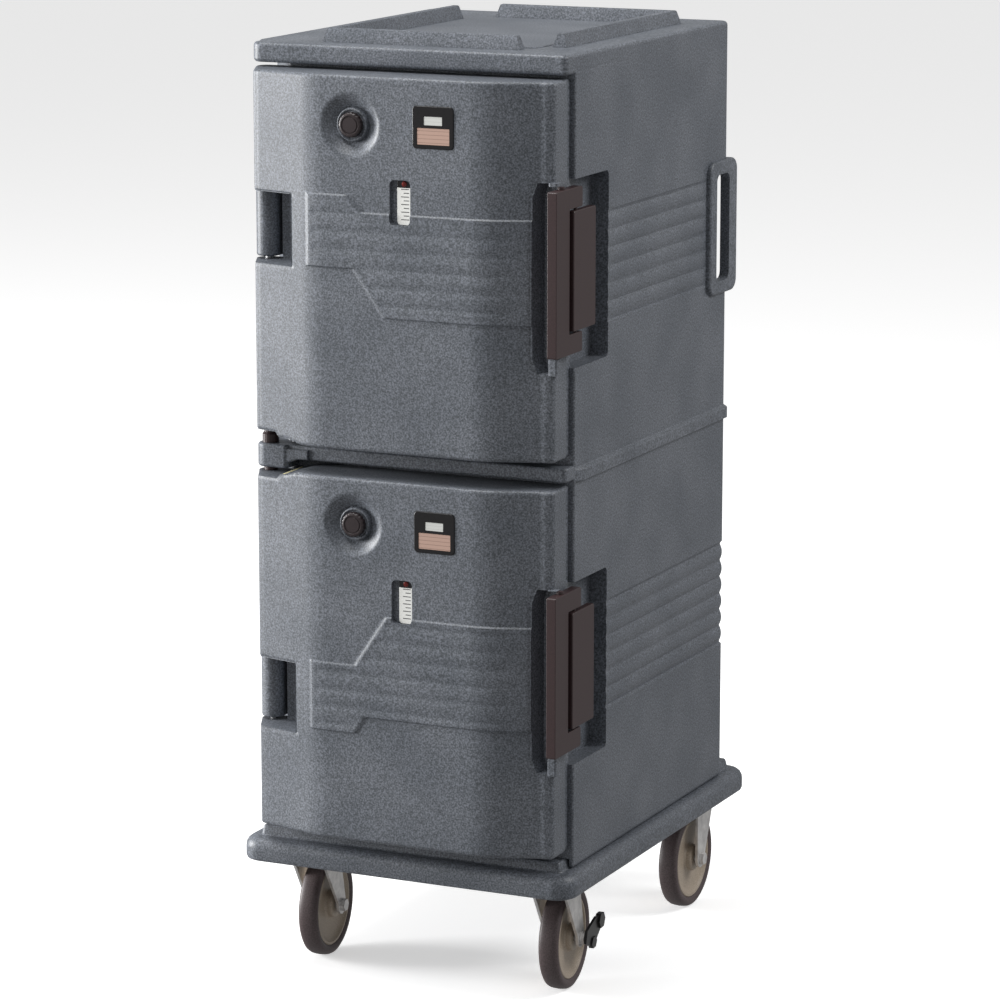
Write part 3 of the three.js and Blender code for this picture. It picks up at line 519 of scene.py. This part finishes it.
# %% Door shape
HINGE = Vector(((span("upper_hinge_pin")[0] + span("upper_hinge_pin")[1]) / 2)[:2])
door_low, door_high = span("upper_door_shell")
DOOR_FRONT, DOOR_BACK, DOOR_RIGHT = door_low.y, door_high.y, 240.0
KNUCKLE = 17.0
FACE_STEP, RIB_PITCH = 2.0, 25.1
LIP = 3.0
GAP = 0.3
OUT_FRONT = -400.0
VENT_X = -53.0
POCKET = dict(left=217.5, wall=6.0, half=110.5, chamfer=20.0, flare=8.0, run=28.0, floor=-309.0)
NOTCH = dict(half=50.5, deep=-196.0, shallow=-151.0, floor=-286.0)
EAR = dict(radius=4.7, half=12.0, offset=55.0)
POST = dict(inner=117.9, outer=131.5)


def door_outline():
    """Plan of a door: flat front, drawn-back ends and a round hinge edge."""

    def step(p):
        return (2.0 if -125 < p[0] < 2 else 2.8) if p[1] < -300 else 30.0
    return rounded_outline([
        (DOOR_RIGHT - 3.5, DOOR_BACK, 0), (DOOR_RIGHT - 3.5, -282.5, 0),
        (DOOR_RIGHT, -284.5, 3.5), (DOOR_RIGHT, -326, 8), (147, DOOR_FRONT, 128),
        (-113.7, DOOR_FRONT, 149), (-214.9, -333.2, 16), (-245.6, HINGE.y + KNUCKLE, KNUCKLE),
        (-212.5, HINGE.y + KNUCKLE, 5.5), (-204.9, DOOR_BACK, 0)], step)


DOORS = {
    "upper": dict(
        vent=1250, knuckle=1098.5, latch=1051.5, meter=1252.3, gauge=1147.2, rib=1003,
        band=[(-300, 1153), (-60, 1153), (-35, 1130), (260, 1130), (260, 987), (-2, 987),
              (-50, 1053), (-300, 1053)],
        boss=[(-300, 780), (-138, 780), (-138, 797), (-159, 803.5), (-176, 804), (-183, 811),
              (-300, 811)]),
    "lower": dict(
        vent=692.5, knuckle=431.7, latch=490, meter=691.8, gauge=589, rib=404,
        band=[(-300, 491), (-51, 491), (-1, 565), (260, 565), (260, 419), (-35, 419),
              (-51, 394), (-300, 394)],
        boss=[(-300, 780), (-138, 780), (-138, 758), (-150, 756), (-162, 752.5), (-175, 751),
              (-181, 745), (-300, 745)]),
}


def latch_pocket_corners(z, right=280.0, flare=0.0):
    """Face outline of the latch pocket, with its two left corners cut off."""
    left = POCKET["left"] - flare
    inner = left + POCKET["wall"]
    half = POCKET["half"]
    reach = half + POCKET["chamfer"]
    return [(left, z - half), (inner, z - reach), (right, z - reach),
            (right, z + reach), (inner, z + reach), (left, z + half)]


def door_relief(level):
    """Depth of the front surface below the plain outline."""

    def relief(x, y, z, normal):
        front = (normal[..., 1] < -0.35) & (x > -232)
        band = np.minimum(inside_distance(level["band"], x, z), (x + 121) * 0.7)
        sides = ease((x + 216) / 5) * ease((228 - x) / 5)
        depth = FACE_STEP * sides * (1 - np.clip((band + 1.6) / 2.2, 0, 1))
        ribs = scallops(z, level["rib"], 6, RIB_PITCH, 1.1)
        depth += ribs * ease((band - 3) / 6) * ease((x + 118) / 6) * ease((210 - x) / 70)
        reach = np.hypot(x - VENT_X, z - level["vent"])
        depth += 11.6 * np.clip((42.5 - reach) / 17.5, 0, 1) + 0.7 * ease((45.0 - reach) / 2.5)
        notch = np.maximum(
            x - NOTCH["shallow"], np.abs(z - level["knuckle"]) - NOTCH["half"])
        depth += np.where(notch > 0, lip_round(notch, LIP), 0)
        opening = latch_pocket_corners(level["latch"], flare=POCKET["flare"])
        pocket = -inside_distance(opening, x, z)
        depth += np.where(pocket > 0, lip_round(pocket, 2.5), 0)
        boss = -inside_distance(level["boss"], x, z)
        depth += np.where(boss > 0, lip_round(boss, LIP), 0)
        return np.where(front, depth, 0.0)
    return relief


# %% [markdown]
# ## Pockets and latch posts
# The latch sits in a pocket at the door's edge, and its frame hangs on two round ears between two posts.
# The real mould forms them with the shell. Here the pockets are cut from the loft and the ears joined to
# it, because a cut keeps its edge crisp where relief would smear it.


# %% Door pockets
def flared_pocket(z):
    """Latch pocket whose left wall leans outward towards the front."""
    back = POCKET["floor"]
    points, faces = loft(
        rounded_outline(sharp(latch_pocket_corners(z, 234.0))),
        [(back, 0), (back - 3, 0), (back - 29, 0), (back - 71, 0)], "Y")
    lean = np.clip((back - points[:, 1]) / POCKET["run"], 0, 1)
    on_left = points[:, 0] < POCKET["left"] + 12.5
    points[:, 0] -= np.where(on_left, POCKET["flare"] * lean, 0.0)
    return points, faces


def door_cuts(name, level):
    """Everything that is taken out of a door's solid loft."""
    latch, knuckle = level["latch"], level["knuckle"]
    reach = POCKET["half"] + POCKET["chamfer"]
    notch_low, notch_high = knuckle - NOTCH["half"], knuckle + NOTCH["half"]
    flange_low, flange_high = span(name + "_door_liner")
    case_low, case_high = span(name + "_thermometer_case")
    return [
        flared_pocket(latch),
        block(233, 300, OUT_FRONT, -323, latch - reach, latch + reach),
        block(-300, NOTCH["deep"], OUT_FRONT, -250, notch_low, notch_high),
        block(-300, NOTCH["shallow"], OUT_FRONT, NOTCH["floor"], notch_low, notch_high),
        along_y(sharp(level["boss"]), OUT_FRONT, -250),
        along_y(rectangle(6.7, 38.3, level["gauge"] - 31, level["gauge"] + 31, 7), -380, -350),
        along_y(rectangle(
            case_low.x - GAP, case_high.x + GAP, case_low.z - GAP, case_high.z + GAP, 6.3), -380, -350),
        block(-172.3, 231.3, -279.9, -260, flange_low.z - GAP, flange_high.z + GAP),
        copy_of(name + "_door_foam_core"),
    ]


def latch_ears(name, level):
    """Two ears that carry the latch frame's pin, and the posts above and below the frame."""
    middle = sum(corner.z for corner in span(name + "_latch_frame")) / 2
    foot = [(236, -320), (236, -322), (240, -325), (244.5, -329.4), (248.5, -327), (248.5, -320)]
    ears = []
    for z in (middle - EAR["offset"], middle + EAR["offset"]):
        low, high = z - EAR["half"], z + EAR["half"]
        ears.append(loft(rounded_outline(sharp(foot)), [(low, 0), (high, 0)]))
        ears.append(turned(
            [(0.01, low), (EAR["radius"], low), (EAR["radius"], high), (0.01, high)],
            "Z", (248.5, -327, 0), 24))
    post = rounded_outline(rectangle(234, 247.5, -335, -319, 3))
    ears.append(loft(post, [(middle + POST["inner"], 0), (level["latch"] + POST["outer"], 0)]))
    ears.append(loft(post, [(level["latch"] - POST["outer"], 0), (middle - POST["inner"], 0)]))
    return ears


# %% Door shells
def make_door_shell(name, level):
    """One door: fine loft, pockets cut, ears joined."""
    low, high = span(name + "_door_shell")
    rows = set(np.arange(low.z, high.z, 2.4))
    for edge_z in {z for _, z in level["band"]}:
        rows |= set(np.arange(edge_z - 3, edge_z + 3, 0.75))
    shell = make_object(name + "_door", loft(
        door_outline(), rounded_rings(low.z, high.z, 5.0, sorted(rows)), "Z", door_relief(level)))
    combine(shell, door_cuts(name, level), "DIFFERENCE")
    combine(shell, latch_ears(name, level), "UNION")
    return dress(shell, polyethylene, name + "_door", "granite_plastic", name + "_door_shell")


for door_name, door_level in DOORS.items():
    make_door_shell(door_name, door_level)

# %% [markdown]
# ## The cabinet
# The cabinet is one moulding with walls on both sides of the foam. The outside is a loft with ribs,
# a raised band and soft lips round the latch pockets. The compartments are cut with solids that leave
# the pan rails standing on their walls.

# %% Cabinet skin
HALF = 245.0
FRONT, REAR = -269.0, 290.0
BAND_LOW, BAND_HIGH, BAND_PROUD = 761.0, 780.0, 5.5
SIDE_RIBS = [(972.0, 203.0), (418.0, 400.0)]
SIDE_POCKET = dict(half=130.5, rear=-155.0, chamfer=5.0)
SLOT = dict(front=232.5, rear=281.0, low=972.0, high=1130.0)


def side_pocket_corners(z):
    """Side outline of the cabinet's latch pocket, as (y, z)."""
    half, rear, chamfer = SIDE_POCKET["half"], SIDE_POCKET["rear"], SIDE_POCKET["chamfer"]
    return [(OUT_FRONT, z - half), (rear - chamfer, z - half), (rear, z - half + chamfer),
            (rear, z + half - chamfer), (rear - chamfer, z + half), (OUT_FRONT, z + half)]


def body_outline():
    """Plan of the cabinet; the sides are divided finely where they carry relief."""

    def step(p):
        if abs(p[0]) > 240:
            return 5.0 if p[1] < -130 or p[1] > 185 else 18.0
        return 12.0
    return rounded_outline([
        (HALF, FRONT, 3.5), (HALF, REAR, 13), (-HALF, REAR, 13), (-HALF, -205, 8),
        (-192, FRONT, 8)], step)


def body_rows():
    """Dense rows only where the sides carry ribs, pockets or the band."""
    dense = [(966, 1130, 2.6), (412, 575, 2.6), (752, 790, 1.3), (915, 966, 5), (1130, 1190, 5),
             (355, 412, 5), (575, 625, 5), (1322, 1336, 1.5)]
    rows = {round(z, 1) for low, high, step in dense for z in np.arange(low, high, step)}
    rows |= {float(z) for z in range(215, 1350, 18)}
    return sorted(rows)


def body_relief(x, y, z, normal):
    """Ribs, band, soft pocket lips, handle groove and lid seam."""
    side = np.abs(normal[..., 0])
    depth = np.zeros(x.shape)
    for bottom, rear in SIDE_RIBS:
        ribs = scallops(z, bottom, 6, RIB_PITCH, 3.4)
        depth += ribs * ease((y + 152) / 3) * ease((rear - y) / 3) * ease((side - 0.05) / 0.25)
    proud = ease((z - BAND_LOW + 1.2) / 2.4) * ease((BAND_HIGH + 2 - z) / 5)
    depth -= BAND_PROUD * proud * np.where(y > -262, 1.0, 0.0)
    for level in DOORS.values():
        out = -inside_distance(side_pocket_corners(level["latch"]), y, z)
        right = normal[..., 0] > 0.5
        depth += np.where((out > 0) & right, lip_round(out, 2.5), 0)
    groove = np.exp(-((y - 206) / 2.6) ** 2) * ease((z - 948) / 10) * ease((1154 - z) / 10)
    depth += 2.5 * groove * ease((side - 0.5) / 0.3)
    seam = np.exp(-((z - 1329) / 1.6) ** 2) * ease((-60 - y) / 150) * ease((side - 0.5) / 0.3)
    depth += 0.9 * seam
    return depth


# %% Cabinet parts
def cavity_cutter(low_z):
    """The compartment's space: a box whose side walls step in at each pan rail."""
    height, first, rail_pitch, rail_half, rail_out, slope = 470.0, 48.0, 52.0, 6.0, 12.0, 3.0
    rails = [low_z + first + k * rail_pitch for k in range(8)]
    rows = sorted({
        rail + side * reach for rail in rails for side in (-1, 1)
        for reach in (rail_half, rail_half + slope)})

    def relief(x, y, z, normal):
        on_side = np.abs(normal[..., 0]) > 0.9
        depth = np.zeros(x.shape)
        for rail in rails:
            depth += rail_out * (1 - np.clip((np.abs(z - rail) - rail_half) / slope, 0, 1))
        return np.where(on_side & (y > -242), depth, 0.0)

    outline = rounded_outline(
        rectangle(-168, 168, -300, 259, 12), lambda p: 9.0)
    return loft(outline, rounded_rings(low_z, low_z + height, 8.0, rows), "Z", relief)


def pocket_cutter(z):
    """Space behind the latch in the cabinet's side."""
    return along_x(sharp(side_pocket_corners(z)), 218, 300)


def lid_slab():
    """Front edge of the lid, round about the hinge line."""
    outline = rounded_outline([
        (HALF - 0.05, -299, 8), (HALF - 0.05, -200, 0), (-HALF + 0.05, -200, 0),
        (-HALF + 0.05, -258, 6), (-237, -272, 8), (-237, -302, 17), (-205, -301, 30)],
        lambda p: 20.0)
    return loft(outline, rounded_rings(1324, 1352, 5.5), "Z")


def roof_ridge(x0, x1, y0, y1):
    """One load rail on the roof, with sloped walls."""
    outline = rounded_outline(rectangle(x0, x1, y0, y1, 0), lambda p: 40.0)
    top = body_high.z
    return loft(outline, [(1346, 0), (1353, 0), (top - 2.5, 4.6), (top - 0.7, 5.4), (top, 7.0)])


def handle_bar(side):
    """Grip that stands out behind the cabinet's corner."""
    bar = make_object("handle", along_x(
        rectangle(209.5, 313, 952, 1150, 18), 231, 250.5, 4.0))
    return bar if side > 0 else mirror_x(bar)


def mid_rail():
    """Ledge between the two doors."""
    rail = rounded_outline([
        (HALF - 0.05, -297, 7), (HALF - 0.05, -262, 0), (-190, -262, 0), (-190, -297, 0)],
        lambda p: 30.0)
    return loft(rail, rounded_rings(765, 785, 3.5), "Z")


def hinge_boss():
    """Block at the left of the ledge that takes both doors' pins."""
    outline = rounded_outline([
        (-183, -302, 8), (-183, -232, 0), (-226, -222, 0), (-237, -240, 6), (-237, -302, 17.5)])
    return loft(outline, rounded_rings(751, 785, 4), "Z")


def boss_waist():
    """The boss narrows smoothly into the rail."""
    return along_y([(-215, 752, 0), (-203, 752, 10), (-168, 765.6, 18), (-152, 765.6, 0),
                    (-152, 780, 0), (-215, 780, 0)], -300.5, -250, 2.5)


def knuckle_lug(z):
    """Hinge knuckle that stands out of the cabinet into a door's notch."""
    half = NOTCH["half"] - 4
    outline = rounded_outline([
        (HINGE.x + KNUCKLE, HINGE.y - KNUCKLE, 16.8), (HINGE.x + KNUCKLE, -215, 0),
        (HINGE.x - KNUCKLE, -212, 0), (HINGE.x - KNUCKLE, HINGE.y - KNUCKLE, 16.8)])
    return loft(outline, rounded_rings(z - half, z + half, 3.0), "Z")


def slot_cutter(side):
    """Finger space through and behind a handle."""
    slot = along_x(rectangle(SLOT["front"], SLOT["rear"], SLOT["low"], SLOT["high"], 11), 205, 300)
    behind = block(205, 236, SLOT["front"], 340, SLOT["low"] - 6, SLOT["high"] + 6)
    tools = [make_object("tool", solid) for solid in (slot, behind)]
    return tools if side > 0 else [mirror_x(tool) for tool in tools]


# %% Cabinet
cabinet = make_object("cabinet", loft(
    body_outline(), rounded_rings(208.3, 1352, 6.0, body_rows()), "Z", body_relief))
roof_panel = loft(
    rounded_outline(rectangle(-112, 168, -228, 178, 12)), [(1346, 0), (1352.6, 0), (1353.6, 2)])
combine(cabinet, [
    lid_slab(), mid_rail(), hinge_boss(), boss_waist(), handle_bar(1), handle_bar(-1),
    knuckle_lug(DOORS["upper"]["knuckle"]), knuckle_lug(DOORS["lower"]["knuckle"]),
    roof_ridge(-144, 156, -260, -240), roof_ridge(-144, -124, -260, 155),
    roof_ridge(-88, 200, 190, 210), roof_ridge(180, 200, -200, 210), roof_panel,
], "UNION")
combine(cabinet, [
    copy_of("body_foam_core"), block(-238.9, 238.9, -310, 340, 190, 222.3),
    cavity_cutter(265), cavity_cutter(808),
    pocket_cutter(DOORS["upper"]["latch"]), pocket_cutter(DOORS["lower"]["latch"]),
] + slot_cutter(1) + slot_cutter(-1), "DIFFERENCE")
keepers = [block(215, 236, -269, -261, z - 70, z + 70) for z in (1060.5, 503)]
combine(cabinet, keepers, "UNION")
dress(cabinet, polyethylene, "root", "granite_plastic", "body_shell")

# %% [markdown]
# ## Base
# The base is a thick moulded skirt. Its rim is rolled, a shallow valley runs inside the rim, and a deck
# stands up in the middle for the cabinet. One profile of insets and heights makes all of it, where a
# bevelled box would give the rim one plain radius.

# %% Base moulding
BASE_PROFILE = [
    (187, 20), (173, 20), (173, 6), (174.8, 1.8), (179, 0), (192, 0), (197, 0.6), (202, 3.2),
    (205.6, 7.4), (207.2, 12), (207.9, 17), (208, 21.7), (209.5, 23.2), (216, 24.6), (220, 26),
    (221.6, 27.6), (222, 30)]
deck_outline = rounded_outline(
    rectangle(base_low.x, base_high.x, base_low.y, base_high.y, 31), lambda p: 60.0, 6.0)
base = make_object("base_moulding", loft(deck_outline, BASE_PROFILE))
dress(base, polyethylene, "root", "granite_plastic", "base")

# %% [markdown]
# ## Vents, thermometer and indicator
# The vent cap is a small ribbed knob in a ring. The thermometer is a black bezel with a display and a
# solar cell, and the indicator is a white plate with plain tick marks and a red lens above it. The round
# pieces are turned from a profile, and the flat ones are outlines carried along Y.


# %% Vent
def make_vent(name):
    """Ring seat in the door's dish, and the ribbed knob that turns in it."""
    seat_low, seat_high = span(name + "_vent_seat")
    cap_low, cap_high = span(name + "_vent_cap")
    centre = ((cap_low.x + cap_high.x) / 2, 0, (cap_low.z + cap_high.z) / 2)
    y = seat_low.y
    seat = make_object(name + "_vent_ring", turned([
        (7, seat_high.y - 1), (8.6, seat_high.y - 1), (8.6, y + 4.9), (24.2, y + 4.9), (23.6, y + 1.0),
        (22.6, y - 1.6), (21.4, y - 2.4), (20.2, y - 2.0), (19.2, y - 0.8), (18.6, y), (7, y)],
        "Y", centre, 64))
    dress(seat, polyethylene, name + "_door", "brown_nylon", name + "_vent_seat")
    front, back = cap_low.y, y - 0.4

    def ribbed(angle, r):
        return r - (0.55 if r > 16.4 and math.sin(angle * 18) < 0 else 0.0)

    cap = make_object(name + "_vent_knob", turned([
        (0.01, back + 7), (5.5, back + 7), (5.5, back), (16.9, back), (17.4, back - 0.8),
        (17.4, front + 2.2), (16.6, front + 0.9), (15.2, front + 0.2), (13.2, front),
        (12.6, front + 0.9), (11.0, front + 1.1), (10.4, front + 0.2), (0.01, front + 0.1)],
        "Y", centre, 144, ribbed))
    dress(cap, vent_nylon, name + "_vent_cap", "brown_nylon", name + "_vent_cap", sharp=40)


# %% Instruments
TICK = dict(count=9, first=7.0, pitch=5.2, long=12.0, short=8.0)


def make_thermometer(name):
    """Black case with a display above a solar cell."""
    low, high = span(name + "_thermometer_case")
    case = make_object(name + "_thermometer", along_y(
        rectangle(low.x, high.x, low.z, high.z, 6), low.y, high.y, 1.2))
    lcd_low, lcd_high = span(name + "_thermometer_display")
    sun_low, sun_high = span(name + "_solar_cell")
    windows = [block(a.x - GAP, b.x + GAP, a.y - 5, b.y + GAP, a.z - GAP, b.z + GAP)
               for a, b in ((lcd_low, lcd_high), (sun_low, sun_high))]
    combine(case, windows, "DIFFERENCE")
    dress(case, black_abs, name + "_door", "black_plastic", name + "_thermometer_case")
    for part, (a, b), finish, slot, node in (
            ("lcd", (lcd_low, lcd_high), lcd_window, "display", "thermometer_display"),
            ("sun_cell", (sun_low, sun_high), solar_film, "solar_cell", "solar_cell")):
        pane = make_object(
            f"{name}_{part}", along_y(rectangle(a.x, b.x, a.z, b.z, 0.8), a.y, b.y, 0.3))
        dress(pane, finish, name + "_door", slot, f"{name}_{node}")


def make_indicator(name):
    """White plate with tick marks and a red lens in a black window."""
    low, high = span(name + "_indicator_plate")
    plate = make_object(name + "_tick_plate", along_y(
        [(high.x, low.z, 1), (high.x, high.z, 1), (low.x, high.z, 1), (low.x, low.z, 5)],
        low.y, high.y, 0.5))
    dress(plate, white_label, name + "_door", "white_plastic", name + "_indicator_plate")
    ticks = []
    for k in range(TICK["count"]):
        z = low.z + TICK["first"] + k * TICK["pitch"]
        width = TICK["short"] if k % 2 else TICK["long"]
        ticks.append(block(high.x - 3 - width, high.x - 3, low.y - 0.15, low.y + 0.3, z, z + 1.1))
    marks = make_object(name + "_tick_marks", joined(ticks))
    dress(marks, printing_ink, name + "_door", "black_plastic")
    low, high = span(name + "_pilot_lamp")
    mount = make_object(name + "_lamp_window", along_y(
        rectangle(17.2, 38, high.z - 10, high.z + 0.8, 3), -354, -350.3, 0.6))
    dress(mount, black_abs, name + "_door", "black_plastic")
    centre = ((low.x + high.x) / 2, 0, (low.z + high.z) / 2)
    lens = make_object(name + "_red_lens", turned([
        (0.01, high.y), (4, high.y), (4, low.y + 1.6), (3.2, low.y + 0.6), (1.6, low.y + 0.1),
        (0.01, low.y)], "Y", centre, 32))
    dress(lens, red_lens, name + "_door", "lamp_red", name + "_pilot_lamp")


for door_name in DOORS:
    make_vent(door_name)
    make_thermometer(door_name)
    make_indicator(door_name)

# %% [markdown]
# ## Latches
# The latch is a C-shaped nylon frame hinged on the door's post, with a lever plate in its window. Both
# are thick mouldings with small radii. Lofts along X give each corner its own radius.


# %% Latches
ARM, WINDOW = 28.0, -314.0


def make_latch(name):
    """C-shaped clasp with slots for the door's ears, and the lever in its window."""
    low, high = span(name + "_latch_frame")
    corners = [
        (low.y, low.z, 2.5), (high.y, low.z, 4), (high.y, low.z + ARM, 3), (WINDOW, low.z + ARM, 1),
        (WINDOW, high.z - ARM, 1), (high.y, high.z - ARM, 3), (high.y, high.z, 4), (low.y, high.z, 2.5)]
    clasp = make_object(name + "_latch_clasp", along_x(corners, low.x, high.x, 0.9))
    middle = (low.z + high.z) / 2
    reach = EAR["half"] + 1
    slots = [block(low.x - 5, high.x - 3, -334, -318, middle + d - reach, middle + d + reach)
             for d in (-EAR["offset"], EAR["offset"])]
    combine(clasp, slots, "DIFFERENCE")
    dress(clasp, brown_nylon, name + "_latch_frame", "brown_nylon", name + "_latch_frame")
    low, high = span(name + "_latch_lever")
    lever = make_object(name + "_latch_handle", along_x(
        rectangle(low.y, high.y, low.z, high.z, 3.5), low.x, high.x, 1.6))
    dress(lever, brown_nylon, name + "_latch_lever", "brown_nylon", name + "_latch_lever")


for door_name in DOORS:
    make_latch(door_name)

# %% [markdown]
# ## Wheels
# A wheel is a turned tread on a turned core. The core is dished, with a raised light rim and a dark
# bearing hub in the middle, and a hexagon bolt runs through the fork. Turning a profile is how the
# real mould is cut, and it needs only the points of half a section.


# %% Casters
def turned_at(node, profile, segments=72, axis_tilt=0.0):
    """Turned solid along X at a CAD wheel's centre, then toed like the CAD wheel."""
    low, high = span(node)
    centre = (low + high) / 2
    points, faces = turned(profile, "X", (0, 0, 0), segments)
    cos, sin = math.cos(axis_tilt), math.sin(axis_tilt)
    spin = np.array([[cos, -sin, 0], [sin, cos, 0], [0, 0, 1]])
    return points @ spin.T + np.array(centre), faces


TREAD = [(61.3, -12), (63, -13.2), (67, -14.6), (70.5, -14.4), (73.4, -12.6), (75, -9.4), (75.7, -5),
         (76, 0), (75.7, 5), (75, 9.4), (73.4, 12.6), (70.5, 14.4), (67, 14.6), (63, 13.2), (61.3, 12)]
CORE = [(6.3, -17), (15, -17), (18.6, -16), (20, -14), (20.6, -9), (23, -6.6), (30, -6.2),
        (46, -6.8), (52, -8.4), (55.5, -11.4), (57, -12.6), (60, -12.6), (61, -11.4)]


def make_wheel(corner, toe):
    """Rubber tread and plastic core of one caster."""
    tyre = make_object(corner + "_tread", turned_at(corner + "_tyre", TREAD, 96, toe))
    dress(tyre, tread_rubber, corner + "_wheel", "tread", corner + "_tyre")
    profile = CORE + [(r, -x) for r, x in reversed(CORE)]
    core = make_object(corner + "_core", turned_at(corner + "_wheel_hub", profile, 96, toe))
    dress(core, tan_polypropylene, corner + "_wheel", "hub_plastic", corner + "_wheel_hub")


TOE = math.radians(5)
for corner_name in ("front_left", "front_right", "rear_left", "rear_right"):
    make_wheel(corner_name, TOE if corner_name.startswith("front") else 0.0)

# %% [markdown]
# ## CAD pieces that stay
# Small fittings such as forks, pins and the heater cover are already the right shape in the CAD, so
# they only change material. Remaking them would add nothing that the eye could see.

# %% Materials of the kept pieces
KEPT = {
    "caster_plate": zinc_plate, "caster_fork": zinc_plate, "axle_bolt": zinc_plate,
    "brake_lever": black_abs, "hinge_pin": stainless, "hinge_bush": brown_nylon,
    "latch_frame_pin": brown_nylon, "latch_lever_pin": brown_nylon, "door_liner": polyethylene,
    "door_gasket": epdm_rubber, "heater_cover": stainless, "heater_element": heater_sheath,
    "foam_core": insulation_foam,
}
for node_name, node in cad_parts.items():
    for ending, finish in KEPT.items():
        if node_name.endswith(ending):
            node.data.materials.clear()
            node.data.materials.append(finish)
print("pieces that keep their CAD shape use", len(set(KEPT.values())), "materials")

# %% [markdown]
# ## Floor, light and camera
# A pale floor and large soft lights, as in a catalogue studio. The broad light on the left makes the
# door's left flank glow, and the front right stays darker. The floor gives off a little light of its
# own, so that it reads as white without a lamp bleaching the cart.

# %% Floor
FLOOR_REACH = 60.0
floor_mesh = bpy.data.meshes.new("studio_floor")
floor_corners = [(x, y, 0) for x, y in ((-1, -1), (1, -1), (1, 1), (-1, 1))]
floor_mesh.from_pydata(
    [(x * FLOOR_REACH, y * FLOOR_REACH, z) for x, y, z in floor_corners], [], [(0, 1, 2, 3)])
floor = bpy.data.objects.new("studio_floor", floor_mesh)
bpy.context.scene.collection.objects.link(floor)
floor_paint, _, _ = new_material(
    "floor_paint", Base_Color=(0.86, 0.86, 0.86, 1), Roughness=0.9,
    Emission_Color=(1, 1, 1, 1), Emission_Strength=0.5)
floor_mesh.materials.append(floor_paint)
floor.visible_diffuse = False
floor.visible_glossy = False


# %% Lights
def softbox(name, place, aim, size, power):
    """Rectangular area light, in metres and watts."""
    lamp = bpy.data.lights.new(name, "AREA")
    lamp.shape = "RECTANGLE"
    lamp.size, lamp.size_y = size
    lamp.energy = power
    piece = bpy.data.objects.new(name, lamp)
    piece.location = place
    piece.rotation_euler = (Vector(aim) - Vector(place)).to_track_quat("-Z", "Y").to_euler()
    bpy.context.scene.collection.objects.link(piece)


softbox("left_softbox", (-6.2, -2.0, 1.5), (0, -0.2, 0.65), (2.6, 3.2), 760)
softbox("right_softbox", (3.3, 1.3, 3.4), (0, 0, 0.7), (1.8, 1.8), 95)
softbox("top_softbox", (-0.8, -1.3, 4.3), (0, -0.1, 0.8), (1.8, 1.8), 110)
world = bpy.data.worlds.new("studio")
world.use_nodes = True
world.node_tree.nodes["Background"].inputs["Color"].default_value = (1, 1, 1, 1)
world.node_tree.nodes["Background"].inputs["Strength"].default_value = 0.34
bpy.context.scene.world = world
bpy.context.scene.view_settings.view_transform = "Standard"

# %% Camera
camera_data = bpy.data.cameras.new("studio_camera")
camera_data.lens = 151.95
camera_data.clip_end = 200
camera = bpy.data.objects.new("studio_camera", camera_data)
camera.location = (2.5530, -5.4830, 1.9002)
camera.rotation_euler = (math.radians(90 - 11.53), 0, math.radians(24.906))
bpy.context.scene.collection.objects.link(camera)
bpy.context.scene.camera = camera
print("camera is", round(camera.location.length, 2), "m from the cart's foot")

# %% Update the scene
bpy.context.view_layer.update()
